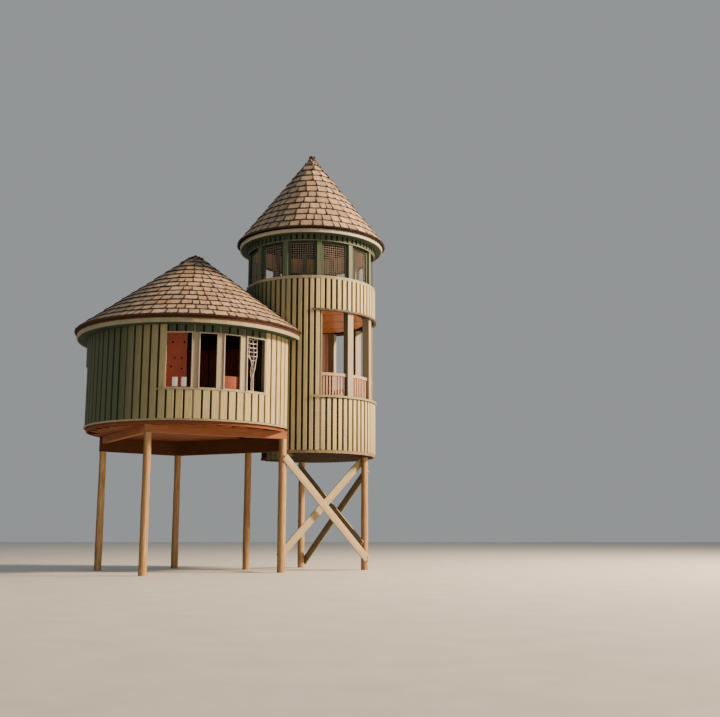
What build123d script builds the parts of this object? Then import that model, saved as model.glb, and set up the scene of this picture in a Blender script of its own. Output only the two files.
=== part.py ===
from build123d import *
import os
from math import asin, atan2, ceil, cos, degrees, floor, hypot, radians, sin, sqrt

# A garden tree house: a round timber tower and a round timber hut, joined side by side and carried
# on log poles. Lengths are in millimetres, X runs to the right, Y runs to the back and Z runs up.
# Angles round a room are measured from its front, positive towards the right.

os.makedirs("parts", exist_ok=True)

# Plan of the two rooms
TOWER_FROM_HUT_X = 4144.0
TOWER_FROM_HUT_Y = 1400.0
TOWER_RADIUS = 2370.0
TOWER_OVERHANG = 370.0
HUT_RADIUS = 3600.0
HUT_OVERHANG = 450.0
WALL = 150.0
FACET = 7.5
CLEARANCE = 0.3
POST_GAP = 60.0

# Tower levels, each measured from the one before it
TOWER_BOTTOM = 4000.0
TOWER_FLOOR_THICKNESS = 120.0
LOWEST_STOREY = 1774.0
BALCONY_SILL_RISE = 186.0
BALCONY_OPENING = 3070.0
LOFT_FLOOR_RISE = 220.0
LOFT_SILL_RISE = 985.0
LOFT_OPENING = 1320.0
TOWER_SOFFIT_RISE = 215.0
TOWER_EAVE_RISE = 180.0
TOWER_ROOF_RISE = 3600.0
FLOOR_SLAB = 160.0

# Tower frame of posts
TOWER_BAYS = 12
TOWER_POST_ANGLE = 10.2
TOWER_POST_WIDTH = 240.0
LOFT_POST_WIDTH = 170.0
TOWER_POST_DEPTH = 250.0
OPEN_BAYS = 5
DOOR_WIDTH = 800.0
DOOR_HEIGHT = 1940.0

# Hut levels, each measured from the one before it, and the entrance from the floor
JOIST_DEPTH = 110.0
HUT_FLOOR_THICKNESS = 60.0
HUT_SILL_RISE = 965.0
HUT_OPENING = 1845.0
HUT_DOOR_HEIGHT = 2120.0
HUT_SOFFIT_RISE = 230.0
HUT_EAVE_RISE = 230.0
HUT_ROOF_RISE = 3100.0
HUT_POST_WIDTH = 187.0

# Angles of the hut's posts: between the front windows, then round the left to the back
FRONT_WINDOW_POSTS = (-5.2, 11.7, 24.6, 37.5, 53.3)
PLAIN_POSTS = (72.5, -25.0, -45.0)
DOOR_POSTS = (-64.0, -82.5)
BACK_WINDOW_POSTS = (-103.0, -116.0, -129.0, -142.0)
REAR_POSTS = (-163.0, -184.0)

# Roof shells
ROOF_THICKNESS = 45.0
ROOF_PANELS = 12
ROOF_TOP_RADIUS = 70.0
CAP_THICKNESS = 30.0
FASCIA_THICKNESS = 45.0
TOWER_FASCIA_SETBACK = 40.0
HUT_FASCIA_SETBACK = 35.0
SOFFIT_THICKNESS = 25.0

# Poles by angle and distance inside the outer face of the wall: right, rear, left and front of the
# tower, then front, rear and left of the hut
POLE_RADIUS = 125.0
TOWER_POLES = ((80.4, 324.0), (-169.1, 284.0), (-88.0, 136.0), (-17.7, -200.0))
HUT_POLES = ((-12.2, 120.0), (-161.2, 748.0), (-102.0, 300.0))

# Beams and joists
BEAM_WIDTH = 160.0
BEAM_TOP = 4710.0
BEAM_DEPTH = 250.0
BACK_BEAM_DEPTH = 540.0
BEAM_END = 120.0
JOIST_WIDTH = 60.0
JOIST_SETBACK = 60.0
JOIST_SPACING = 600.0

# Crossed braces, each by its upper end's depth below the tower and its lower end's height
BRACE_WIDTH = 240.0
BRACE_THICKNESS = 45.0
FRONT_BRACES = ((150.0, 380.0), (120.0, 500.0))
SIDE_BRACES = ((440.0, 200.0), (200.0, 900.0))

# Rail of the balcony
RAIL_GUARD = 1040.0
RAIL_DEPTH = 95.0
RAIL_HEIGHT = 100.0
BALUSTER_SIZE = 45.0
BALUSTERS_PER_BAY = 8

# Trim boards
TRIM_THICKNESS = 35.0
TRIM_HEIGHT = 100.0
BALCONY_TRIM_PROJECTION = 100.0
SILL_PROJECTION = 60.0

# Activity panel in the first front window
PANEL_THICKNESS = 40.0
PANEL_WIDTH = 680.0
PANEL_HOLE_RADIUS = 34.0

# Levels that follow
TOWER_FLOOR = TOWER_BOTTOM + TOWER_FLOOR_THICKNESS
BALCONY_FLOOR = TOWER_BOTTOM + LOWEST_STOREY
BALCONY_SILL = BALCONY_FLOOR + BALCONY_SILL_RISE
BALCONY_HEAD = BALCONY_SILL + BALCONY_OPENING
DOOR_HEAD = BALCONY_SILL + DOOR_HEIGHT
RAIL_TOP = BALCONY_FLOOR + RAIL_GUARD
LOFT_FLOOR = BALCONY_HEAD + LOFT_FLOOR_RISE
LOFT_SILL = LOFT_FLOOR + LOFT_SILL_RISE
LOFT_HEAD = LOFT_SILL + LOFT_OPENING
TOWER_SOFFIT = LOFT_HEAD + TOWER_SOFFIT_RISE
TOWER_EAVE = TOWER_SOFFIT + TOWER_EAVE_RISE
TOWER_APEX = TOWER_EAVE + TOWER_ROOF_RISE
BEAM_BOTTOM = BEAM_TOP - BEAM_DEPTH
BACK_BEAM_BOTTOM = BEAM_TOP - BACK_BEAM_DEPTH
HUT_TRIM_BOTTOM = BEAM_TOP + JOIST_DEPTH
HUT_FLOOR = HUT_TRIM_BOTTOM + HUT_FLOOR_THICKNESS
HUT_SILL = HUT_FLOOR + HUT_SILL_RISE
HUT_HEAD = HUT_SILL + HUT_OPENING
HUT_DOOR_HEAD = HUT_FLOOR + HUT_DOOR_HEIGHT
HUT_SOFFIT = HUT_HEAD + HUT_SOFFIT_RISE
HUT_EAVE = HUT_SOFFIT + HUT_EAVE_RISE
HUT_APEX = HUT_EAVE + HUT_ROOF_RISE

# Radii that follow
TOWER_EAVE_RADIUS = TOWER_RADIUS + TOWER_OVERHANG
HUT_EAVE_RADIUS = HUT_RADIUS + HUT_OVERHANG

# Round walls, rings and roofs are made of flat facets, like the boards that would clad them
SIDES = round(360.0 / FACET)
FLAT = cos(radians(FACET / 2))
REACH = max(cos(radians(TOWER_POST_ANGLE + FACET * step)) for step in range(SIDES))

# The model's origin is under the middle of the box that holds both eaves
BOX_LEFT = -HUT_EAVE_RADIUS * REACH
BOX_RIGHT = TOWER_FROM_HUT_X + TOWER_EAVE_RADIUS * REACH
BOX_FRONT = min(-HUT_EAVE_RADIUS * REACH, TOWER_FROM_HUT_Y - TOWER_EAVE_RADIUS * REACH)
BOX_BACK = max(HUT_EAVE_RADIUS * REACH, TOWER_FROM_HUT_Y + TOWER_EAVE_RADIUS * REACH)
HUT = (-(BOX_LEFT + BOX_RIGHT) / 2, -(BOX_FRONT + BOX_BACK) / 2)
TOWER = (HUT[0] + TOWER_FROM_HUT_X, HUT[1] + TOWER_FROM_HUT_Y)


def around(centre, radius, angle, height=0.0):
    """Point at an angle and a radius from a room's centre."""
    turn = radians(angle)
    return Vector(centre[0] + radius * sin(turn), centre[1] - radius * cos(turn), height)


def rim(centre, radius, start, end):
    """Points along a many-sided outline from one angle to another; its corners stand at the radius."""
    first = floor((start - TOWER_POST_ANGLE) / FACET + 0.001) + 1
    last = ceil((end - TOWER_POST_ANGLE) / FACET - 0.001) - 1
    corners = [TOWER_POST_ANGLE + FACET * step for step in range(first, last + 1)]
    points = []
    for angle in [start] + corners + [end]:
        offset = (angle - TOWER_POST_ANGLE) % FACET - FACET / 2
        points.append(around(centre, radius * FLAT / cos(radians(offset)), angle))
    return points


def full_rim(centre, radius):
    """Corners of a whole many-sided outline."""
    return [around(centre, radius, TOWER_POST_ANGLE + FACET * step) for step in range(SIDES)]


def flat_points(points):
    """The plan position of each point."""
    return [(point.X, point.Y) for point in points]


def arc_block(centre, inner, outer, start, end, bottom, top):
    """Block that follows a round wall between two radii, two angles and two heights."""
    outside = flat_points(rim(centre, outer, start, end))
    inside = flat_points(rim(centre, inner, start, end))
    with BuildPart() as block:
        with BuildSketch(Plane.XY.offset(bottom)):
            Polygon(*outside, *reversed(inside), align=None)
        extrude(amount=top - bottom)
    return block.part


def ring(centre, inner, outer, bottom, top):
    """Full flat ring between two heights."""
    with BuildPart() as band:
        with BuildSketch(Plane.XY.offset(bottom)):
            Polygon(*flat_points(full_rim(centre, outer)), align=None)
            Polygon(*flat_points(full_rim(centre, inner)), align=None, mode=Mode.SUBTRACT)
        extrude(amount=top - bottom)
    return band.part


def disc(centre, radius, bottom, top):
    """Full round slab between two heights."""
    with BuildPart() as slab:
        with BuildSketch(Plane.XY.offset(bottom)):
            Polygon(*flat_points(full_rim(centre, radius)), align=None)
        extrude(amount=top - bottom)
    return slab.part


def post(centre, outer, angle, width, depth, bottom, top):
    """Square post whose outer corners just reach the facets of a round wall."""
    place = around(centre, sqrt((outer * FLAT) ** 2 - width * width / 4) - depth / 2, angle, bottom)
    with BuildPart() as stick:
        with Locations(Location((place.X, place.Y, place.Z), (0, 0, angle))):
            Box(width, depth, top - bottom, align=(Align.CENTER, Align.CENTER, Align.MIN))
    return stick.part


def beam(start, end, width, bottom, top):
    """Straight level beam between two points in plan."""
    run = hypot(end[0] - start[0], end[1] - start[1])
    turn = degrees(atan2(end[1] - start[1], end[0] - start[0]))
    with BuildPart() as timber:
        with Locations(Location((start[0], start[1], bottom), (0, 0, turn))):
            Box(run, width, top - bottom, align=(Align.MIN, Align.CENTER, Align.MIN))
    return timber.part


def plank(start, end, width, thickness):
    """Sloping plank between two points, standing on edge in its own upright plane."""
    start = Vector(*start)
    end = Vector(*end)
    along = end - start
    flat = Vector(along.Y, -along.X, 0).normalized()
    middle = (start + end) * 0.5
    with BuildPart() as board:
        with Locations(Plane(origin=middle, x_dir=along.normalized(), z_dir=flat)):
            Box(along.length, width, thickness)
    return board.part


def roof_drop(eave_radius, eave, apex):
    """Upright thickness of a cone roof's shell."""
    slope = (apex - eave) / eave_radius
    return ROOF_THICKNESS * sqrt(1 + slope * slope)


def facet_block(centre, profile, left, turn):
    """Slice of a many-sided roof: an upright profile carried straight across one flat facet."""
    reach = max(point[0] for point in profile)
    lowest = min(point[1] for point in profile)
    highest = max(point[1] for point in profile)
    middle = radians(left + turn / 2)
    outward = (sin(middle), -cos(middle), 0)
    sideways = (-cos(middle), -sin(middle), 0)
    edges = [around(centre, reach * 2, left), around(centre, reach * 2, left + turn)]
    with BuildPart() as facet:
        with BuildSketch(Plane((centre[0], centre[1], 0), x_dir=outward, z_dir=sideways)):
            Polygon(*profile, align=None)
        extrude(amount=reach * turn / 90, both=True)
        with BuildSketch(Plane.XY.offset(lowest - 10)):
            Polygon(centre, *flat_points(edges), align=None)
        extrude(amount=highest - lowest + 20, mode=Mode.INTERSECT)
    return facet.part


def roof_panel(centre, eave_radius, eave, apex, start, end):
    """Panel of a cone roof, hollow below and made of flat facets, from its eave to near its apex."""
    reach = eave_radius * FLAT
    drop = roof_drop(eave_radius, eave, apex)
    top = apex - ROOF_TOP_RADIUS * (apex - eave) / reach
    profile = ((reach, eave), (ROOF_TOP_RADIUS, top), (ROOF_TOP_RADIUS, top - drop), (reach, eave - drop))
    with BuildPart() as panel:
        for step in range(round((end - start) / FACET)):
            add(facet_block(centre, profile, start + FACET * step, FACET))
    return panel.part


def roof_underside(radius, eave_radius, eave, apex):
    """Height of a cone roof's lower face at a radius."""
    slope = (apex - eave) / eave_radius
    return eave - roof_drop(eave_radius, eave, apex) + (eave_radius - radius) * slope


def half_angle(width, radius):
    """Half of the angle that a straight width takes at a radius."""
    return degrees(asin(width / 2 / radius))


def save(part, label):
    """Name a piece and write its file."""
    part.label = label
    export_step(part, "parts/" + label + ".step")


# Angles of the tower's bays
BAY = 360.0 / TOWER_BAYS
TOWER_POST_ANGLES = [TOWER_POST_ANGLE + BAY * step for step in range(TOWER_BAYS)]
TOWER_INNER = TOWER_RADIUS - WALL
HUT_INNER = HUT_RADIUS - WALL
TOWER_WALL_TOP = roof_underside(TOWER_RADIUS, TOWER_EAVE_RADIUS, TOWER_EAVE, TOWER_APEX) - CLEARANCE
HUT_WALL_TOP = roof_underside(HUT_RADIUS, HUT_EAVE_RADIUS, HUT_EAVE, HUT_APEX) - CLEARANCE

# Space that the tower takes out of the hut above its floor
with BuildPart() as tower_space:
    add(disc(TOWER, TOWER_RADIUS + CLEARANCE, 0, TOWER_APEX))

# Space that the hut takes out of the tower's lowest storey, which stands on the hut's floor there
with BuildPart() as hut_space:
    add(disc(HUT, HUT_RADIUS + CLEARANCE, 0, HUT_FLOOR))

# Feet of the log poles
RIGHT_POLE, REAR_POLE, LEFT_POLE, FRONT_POLE = [
    around(TOWER, TOWER_RADIUS - inset, angle) for angle, inset in TOWER_POLES
]
FRONT_LOG, REAR_LOG, LEFT_LOG = [
    around(HUT, HUT_RADIUS - inset, angle) for angle, inset in HUT_POLES
]


def log_poles(stands):
    """Round poles from the ground up to given heights."""
    with BuildPart() as logs:
        for foot, top in stands:
            with Locations((foot.X, foot.Y, 0)):
                Cylinder(POLE_RADIUS, top, align=(Align.CENTER, Align.CENTER, Align.MIN))
    return logs.part


TOWER_STANDS = (
    (RIGHT_POLE, TOWER_BOTTOM),
    (REAR_POLE, TOWER_BOTTOM),
    (LEFT_POLE, BACK_BEAM_BOTTOM),
    (FRONT_POLE, BEAM_BOTTOM),
)
HUT_STANDS = ((FRONT_LOG, BEAM_BOTTOM), (REAR_LOG, BACK_BEAM_BOTTOM), (LEFT_LOG, BACK_BEAM_BOTTOM))
save(log_poles(TOWER_STANDS), "tower_logs")
save(log_poles(HUT_STANDS), "hut_logs")

# Crossed braces between the tower's poles


def crossed_braces(first, second, heights):
    """Two crossed planks, one on each side of two poles; the first falls towards the second pole."""
    along = (second - first).normalized()
    with BuildPart() as braces:
        for side, (drop, foot) in zip((1, -1), heights):
            outward = Vector(along.Y, -along.X, 0) * (side * (POLE_RADIUS + BRACE_THICKNESS / 2))
            high, low = (first, second) if side == 1 else (second, first)
            top = high + outward + Vector(0, 0, TOWER_BOTTOM - drop)
            bottom = low + outward + Vector(0, 0, foot)
            add(plank(top, bottom, BRACE_WIDTH, BRACE_THICKNESS))
    return braces.part


save(crossed_braces(FRONT_POLE, RIGHT_POLE, FRONT_BRACES), "front_braces")
save(crossed_braces(RIGHT_POLE, REAR_POLE, SIDE_BRACES), "side_braces")

# Tower floors
with BuildPart() as tower_floor:
    add(disc(TOWER, TOWER_RADIUS, TOWER_BOTTOM, TOWER_FLOOR))
    add(hut_space.part, mode=Mode.SUBTRACT)
save(tower_floor.part, "tower_floor")


def post_ring(centre, outer, angles, width, depth, bottom, top):
    """Posts at several angles of one round wall."""
    with BuildPart() as posts:
        for angle in angles:
            add(post(centre, outer, angle, width, depth, bottom, top))
    return posts.part


# Tower posts, thick ones up to the head of the balcony and slimmer ones from there to the roof
LOWER_POSTS = (TOWER_POST_WIDTH, TOWER_POST_DEPTH, TOWER_FLOOR, BALCONY_HEAD)
UPPER_POSTS = (LOFT_POST_WIDTH, TOWER_POST_DEPTH, BALCONY_HEAD, TOWER_WALL_TOP)
with BuildPart() as tower_posts:
    add(post_ring(TOWER, TOWER_RADIUS, TOWER_POST_ANGLES, *LOWER_POSTS))
    add(hut_space.part, mode=Mode.SUBTRACT)
save(tower_posts.part, "tower_posts")

with BuildPart() as loft_posts:
    add(post_ring(TOWER, TOWER_RADIUS, TOWER_POST_ANGLES, *UPPER_POSTS))
save(loft_posts.part, "loft_posts")

# Room that the posts take out of the tower's walls, open to the outside
with BuildPart() as tower_post_gaps:
    add(tower_posts.part)
    add(post_ring(TOWER, TOWER_RADIUS + POST_GAP, TOWER_POST_ANGLES, *LOWER_POSTS))
with BuildPart() as loft_post_gaps:
    add(loft_posts.part)
    add(post_ring(TOWER, TOWER_RADIUS + POST_GAP, TOWER_POST_ANGLES, *UPPER_POSTS))

with BuildPart() as balcony_floor:
    add(disc(TOWER, TOWER_INNER - CLEARANCE, BALCONY_FLOOR - FLOOR_SLAB, BALCONY_FLOOR))
    add(tower_posts.part, mode=Mode.SUBTRACT)
save(balcony_floor.part, "balcony_floor")

with BuildPart() as loft_floor:
    add(disc(TOWER, TOWER_INNER - CLEARANCE, LOFT_FLOOR - FLOOR_SLAB, LOFT_FLOOR))
    add(loft_posts.part, mode=Mode.SUBTRACT)
save(loft_floor.part, "loft_floor")


def tower_panels(bays, bottom, top):
    """Wall panels that fill some bays of the tower between its posts."""
    gaps = tower_post_gaps if bottom < BALCONY_HEAD else loft_post_gaps
    with BuildPart() as panels:
        for bay in bays:
            start = TOWER_POST_ANGLES[bay]
            add(arc_block(TOWER, TOWER_INNER, TOWER_RADIUS, start, start + BAY, bottom, top))
        add(gaps.part, mode=Mode.SUBTRACT)
    return panels.part


ALL_BAYS = range(TOWER_BAYS)
CLOSED_BAYS = [bay for bay in ALL_BAYS if bay >= OPEN_BAYS and bay != 9]
DOOR_BAY = 9
with BuildPart() as tower_lower_wall:
    add(tower_panels(ALL_BAYS, TOWER_FLOOR, BALCONY_SILL))
    add(hut_space.part, mode=Mode.SUBTRACT)
save(tower_lower_wall.part, "tower_lower_wall")
save(tower_panels(CLOSED_BAYS, BALCONY_SILL, BALCONY_HEAD), "tower_side_wall")
save(tower_panels(ALL_BAYS, BALCONY_HEAD, LOFT_SILL), "tower_upper_wall")
save(tower_panels(ALL_BAYS, LOFT_HEAD, TOWER_WALL_TOP), "tower_head_wall")

# Wall round the doorway between the two rooms
DOOR_ANGLE = TOWER_POST_ANGLES[DOOR_BAY] + BAY / 2
with BuildPart() as doorway_wall:
    add(tower_panels([DOOR_BAY], BALCONY_SILL, BALCONY_HEAD))
    add(
        post(TOWER, TOWER_RADIUS + 50, DOOR_ANGLE, DOOR_WIDTH, WALL * 3, BALCONY_SILL, DOOR_HEAD),
        mode=Mode.SUBTRACT,
    )
save(doorway_wall.part, "doorway_wall")

# Tower trim rings
TRIM_INNER = TOWER_RADIUS + CLEARANCE
TRIM_OUTER = TOWER_RADIUS + TRIM_THICKNESS
BALCONY_TRIM = TOWER_RADIUS + BALCONY_TRIM_PROJECTION
BALCONY_START = TOWER_POST_ANGLE - 5.9
BALCONY_END = TOWER_POST_ANGLE + OPEN_BAYS * BAY + 5.9
with BuildPart() as tower_bottom_trim:
    add(ring(TOWER, TRIM_INNER, TRIM_OUTER, TOWER_BOTTOM, TOWER_BOTTOM + TRIM_HEIGHT))
    add(hut_space.part, mode=Mode.SUBTRACT)
save(tower_bottom_trim.part, "tower_bottom_trim")
for level, name in ((BALCONY_SILL, "balcony_sill_trim"), (BALCONY_HEAD, "balcony_head_trim")):
    save(
        arc_block(TOWER, TRIM_INNER, BALCONY_TRIM, BALCONY_START, BALCONY_END, level - 30, level + 35),
        name,
    )
save(ring(TOWER, TRIM_INNER, TRIM_OUTER + 20, LOFT_SILL - 70, LOFT_SILL + 30), "loft_sill_trim")
save(ring(TOWER, TRIM_INNER, TRIM_OUTER, LOFT_HEAD - 15, LOFT_HEAD + 30), "loft_head_trim")

# Balcony rail, one length to each open bay
RAIL_RADIUS = TOWER_RADIUS - TOWER_POST_DEPTH / 2
RAIL_OUTER = RAIL_RADIUS + RAIL_DEPTH / 2
RAIL_INNER = RAIL_RADIUS - RAIL_DEPTH / 2
POST_HALF = half_angle(TOWER_POST_WIDTH, RAIL_RADIUS)
BALUSTER_STEP = (BAY - 2 * POST_HALF) / (BALUSTERS_PER_BAY + 0.5)
with BuildPart() as balcony_rail:
    for bay in range(OPEN_BAYS):
        start = TOWER_POST_ANGLES[bay]
        end = start + BAY
        add(arc_block(TOWER, RAIL_INNER, RAIL_OUTER, start, end, RAIL_TOP - RAIL_HEIGHT, RAIL_TOP))
        add(arc_block(TOWER, RAIL_INNER, RAIL_OUTER, start, end, BALCONY_SILL, BALCONY_SILL + 45))
        for step in range(BALUSTERS_PER_BAY):
            angle = start + POST_HALF + BALUSTER_STEP * (step + 0.75)
            add(
                post(
                    TOWER,
                    RAIL_RADIUS + BALUSTER_SIZE / 2,
                    angle,
                    BALUSTER_SIZE,
                    BALUSTER_SIZE,
                    BALCONY_SILL + 25,
                    RAIL_TOP - 40,
                )
            )
    add(tower_posts.part, mode=Mode.SUBTRACT)
save(balcony_rail.part, "balcony_rail")

# Tower soffit, fascia and roof
TOWER_FASCIA = TOWER_EAVE_RADIUS - TOWER_FASCIA_SETBACK
SOFFIT_RIM = TOWER_FASCIA - FASCIA_THICKNESS
save(
    ring(TOWER, TRIM_INNER, SOFFIT_RIM, TOWER_SOFFIT, TOWER_SOFFIT + SOFFIT_THICKNESS),
    "tower_soffit",
)
save(
    ring(
        TOWER,
        TOWER_FASCIA - FASCIA_THICKNESS,
        TOWER_FASCIA,
        TOWER_SOFFIT,
        roof_underside(TOWER_FASCIA, TOWER_EAVE_RADIUS, TOWER_EAVE, TOWER_APEX),
    ),
    "tower_fascia",
)
ROOF_STEP = 360.0 / ROOF_PANELS
for half, name in ((0, "tower_roof_panels_a"), (1, "tower_roof_panels_b")):
    with BuildPart() as tower_roof:
        for step in range(half, ROOF_PANELS, 2):
            start = TOWER_POST_ANGLE + ROOF_STEP * step
            add(roof_panel(TOWER, TOWER_EAVE_RADIUS, TOWER_EAVE, TOWER_APEX, start, start + ROOF_STEP))
    save(tower_roof.part, name)


def roof_cap(centre, eave_radius, eave, apex):
    """Small many-sided cap over the top ends of the roof panels."""
    slope = (apex - eave) / eave_radius
    foot = ROOF_TOP_RADIUS * 3
    base = apex - slope * foot + CLEARANCE
    peak = apex + CAP_THICKNESS + 10
    profile = ((0, apex + CLEARANCE), (foot, base), (foot, base + CAP_THICKNESS), (0, peak))
    with BuildPart() as cap:
        for step in range(ROOF_PANELS):
            add(facet_block(centre, profile, TOWER_POST_ANGLE + ROOF_STEP * step, ROOF_STEP))
    return cap.part


save(roof_cap(TOWER, TOWER_EAVE_RADIUS, TOWER_EAVE, TOWER_APEX), "tower_roof_cap")


# Beams under the hut, from pole to pole
def extended(start, end, before, after):
    """Line in plan made longer at both ends."""
    along = (end - start).normalized()
    first = start - along * before
    last = end + along * after
    return (first.X, first.Y), (last.X, last.Y)


with BuildPart() as front_beam:
    line = extended(FRONT_LOG, FRONT_POLE, BEAM_END, BEAM_END)
    add(beam(line[0], line[1], BEAM_WIDTH, BEAM_BOTTOM, BEAM_TOP))
    add(tower_space.part, mode=Mode.SUBTRACT)
save(front_beam.part, "front_beam")

with BuildPart() as back_beam:
    line = extended(REAR_LOG, LEFT_POLE, BEAM_END, HUT_RADIUS)
    add(beam(line[0], line[1], BEAM_WIDTH, BACK_BEAM_BOTTOM, BEAM_TOP))
    add(disc(HUT, HUT_RADIUS, BACK_BEAM_BOTTOM, BEAM_TOP), mode=Mode.INTERSECT)
save(back_beam.part, "back_beam")

with BuildPart() as rear_left_beam:
    line = extended(LEFT_LOG, REAR_LOG, BEAM_END, 0)
    add(beam(line[0], line[1], BEAM_WIDTH, BACK_BEAM_BOTTOM, BEAM_TOP))
    add(back_beam.part, mode=Mode.SUBTRACT)
save(rear_left_beam.part, "rear_left_beam")

with BuildPart() as front_left_beam:
    line = extended(LEFT_LOG, FRONT_LOG, 0, 0)
    add(beam(line[0], line[1], BEAM_WIDTH, BEAM_BOTTOM, BEAM_TOP))
    add(front_beam.part, mode=Mode.SUBTRACT)
    add(rear_left_beam.part, mode=Mode.SUBTRACT)
save(front_left_beam.part, "front_left_beam")

# Floor joists of the hut, running from front to back
with BuildPart() as joist_space:
    add(disc(HUT, HUT_RADIUS - JOIST_SETBACK, BEAM_TOP, HUT_TRIM_BOTTOM))
with BuildPart() as hut_joists:
    count = int(HUT_RADIUS / JOIST_SPACING)
    for step in range(-count, count + 1):
        with Locations((HUT[0] + step * JOIST_SPACING, HUT[1], BEAM_TOP)):
            Box(
                JOIST_WIDTH,
                HUT_RADIUS * 2,
                HUT_TRIM_BOTTOM - BEAM_TOP,
                align=(Align.CENTER, Align.CENTER, Align.MIN),
            )
    add(joist_space.part, mode=Mode.INTERSECT)
save(hut_joists.part, "hut_joists")

# Hut floor and its edge trim
with BuildPart() as hut_floor:
    add(disc(HUT, HUT_RADIUS, HUT_TRIM_BOTTOM, HUT_FLOOR))
save(hut_floor.part, "hut_floor")

# Wall that closes the tower's lowest storey against the space under the hut
STEP_WALL_INNER = HUT_RADIUS + CLEARANCE
with BuildPart() as tower_step_wall:
    add(ring(HUT, STEP_WALL_INNER, STEP_WALL_INNER + WALL, TOWER_FLOOR, HUT_FLOOR))
    add(disc(TOWER, TOWER_INNER - CLEARANCE, TOWER_FLOOR, HUT_FLOOR), mode=Mode.INTERSECT)
    add(tower_posts.part, mode=Mode.SUBTRACT)
save(tower_step_wall.part, "tower_step_wall")

with BuildPart() as hut_floor_trim:
    add(ring(HUT, HUT_RADIUS + CLEARANCE, HUT_RADIUS + TRIM_THICKNESS, HUT_TRIM_BOTTOM, HUT_FLOOR))
    add(tower_space.part, mode=Mode.SUBTRACT)
save(hut_floor_trim.part, "hut_floor_trim")

# Hut posts
HUT_POST_ANGLES = FRONT_WINDOW_POSTS + PLAIN_POSTS + DOOR_POSTS + BACK_WINDOW_POSTS + REAR_POSTS
with BuildPart() as hut_posts:
    add(post_ring(HUT, HUT_RADIUS, HUT_POST_ANGLES, HUT_POST_WIDTH, WALL, HUT_FLOOR, HUT_WALL_TOP))
    add(tower_space.part, mode=Mode.SUBTRACT)
save(hut_posts.part, "hut_posts")
with BuildPart() as hut_post_gaps:
    add(hut_posts.part)
    add(post_ring(HUT, HUT_RADIUS + POST_GAP, HUT_POST_ANGLES, HUT_POST_WIDTH, WALL, HUT_FLOOR, HUT_WALL_TOP))

# Angles at which the hut's wall meets the tower
SPAN = hypot(TOWER_FROM_HUT_X, TOWER_FROM_HUT_Y)
TOWER_BEARING = degrees(atan2(TOWER_FROM_HUT_X, -TOWER_FROM_HUT_Y))


def hut_panels(spans, bottom, top):
    """Wall panels of the hut between pairs of angles, clear of its posts and the tower."""
    with BuildPart() as panels:
        for start, end in spans:
            add(arc_block(HUT, HUT_INNER, HUT_RADIUS, start, end, bottom, top))
        add(hut_post_gaps.part, mode=Mode.SUBTRACT)
        add(tower_space.part, mode=Mode.SUBTRACT)
    return panels.part


FRONT_WINDOWS = list(zip(FRONT_WINDOW_POSTS[:-1], FRONT_WINDOW_POSTS[1:]))
BACK_WINDOWS = list(zip(BACK_WINDOW_POSTS[1:], BACK_WINDOW_POSTS[:-1]))
WINDOWS = FRONT_WINDOWS + BACK_WINDOWS
SIDE_SPANS = [
    (FRONT_WINDOW_POSTS[-1], PLAIN_POSTS[0]),
    (PLAIN_POSTS[0], TOWER_BEARING),
    (PLAIN_POSTS[1], FRONT_WINDOW_POSTS[0]),
    (PLAIN_POSTS[2], PLAIN_POSTS[1]),
    (DOOR_POSTS[0], PLAIN_POSTS[2]),
    (BACK_WINDOW_POSTS[0], DOOR_POSTS[1]),
    (REAR_POSTS[0], BACK_WINDOW_POSTS[-1]),
    (REAR_POSTS[1], REAR_POSTS[0]),
    (TOWER_BEARING - 360, REAR_POSTS[1]),
]
save(hut_panels(SIDE_SPANS, HUT_FLOOR, HUT_WALL_TOP), "hut_side_wall")
save(hut_panels(WINDOWS, HUT_FLOOR, HUT_SILL), "hut_parapet_wall")
save(hut_panels(WINDOWS, HUT_HEAD, HUT_WALL_TOP), "hut_head_wall")
save(hut_panels([(DOOR_POSTS[1], DOOR_POSTS[0])], HUT_DOOR_HEAD, HUT_WALL_TOP), "hut_door_head")

# Hut sill boards under the two rows of windows
with BuildPart() as hut_sills:
    for row in (FRONT_WINDOWS, BACK_WINDOWS):
        start = min(row[0][0], row[-1][0])
        end = max(row[0][1], row[-1][1])
        add(
            arc_block(
                HUT,
                HUT_RADIUS + CLEARANCE,
                HUT_RADIUS + SILL_PROJECTION,
                start - 2.5,
                end + 0.5,
                HUT_SILL - 45,
                HUT_SILL,
            )
        )
save(hut_sills.part, "hut_sills")

# Hut soffit, fascia and roof
HUT_FASCIA = HUT_EAVE_RADIUS - HUT_FASCIA_SETBACK
HUT_SOFFIT_RIM = HUT_FASCIA - FASCIA_THICKNESS
with BuildPart() as hut_soffit:
    add(ring(HUT, HUT_RADIUS + CLEARANCE, HUT_SOFFIT_RIM, HUT_SOFFIT, HUT_SOFFIT + SOFFIT_THICKNESS))
    add(tower_space.part, mode=Mode.SUBTRACT)
save(hut_soffit.part, "hut_soffit")

with BuildPart() as hut_fascia:
    add(
        ring(
            HUT,
            HUT_FASCIA - FASCIA_THICKNESS,
            HUT_FASCIA,
            HUT_SOFFIT,
            roof_underside(HUT_FASCIA, HUT_EAVE_RADIUS, HUT_EAVE, HUT_APEX),
        )
    )
    add(tower_space.part, mode=Mode.SUBTRACT)
save(hut_fascia.part, "hut_fascia")

for half, name in ((0, "hut_roof_panels_a"), (1, "hut_roof_panels_b")):
    with BuildPart() as hut_roof:
        for step in range(half, ROOF_PANELS, 2):
            start = TOWER_POST_ANGLE + ROOF_STEP * step
            add(roof_panel(HUT, HUT_EAVE_RADIUS, HUT_EAVE, HUT_APEX, start, start + ROOF_STEP))
        add(tower_space.part, mode=Mode.SUBTRACT)
    save(hut_roof.part, name)

save(roof_cap(HUT, HUT_EAVE_RADIUS, HUT_EAVE, HUT_APEX), "hut_roof_cap")

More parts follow.
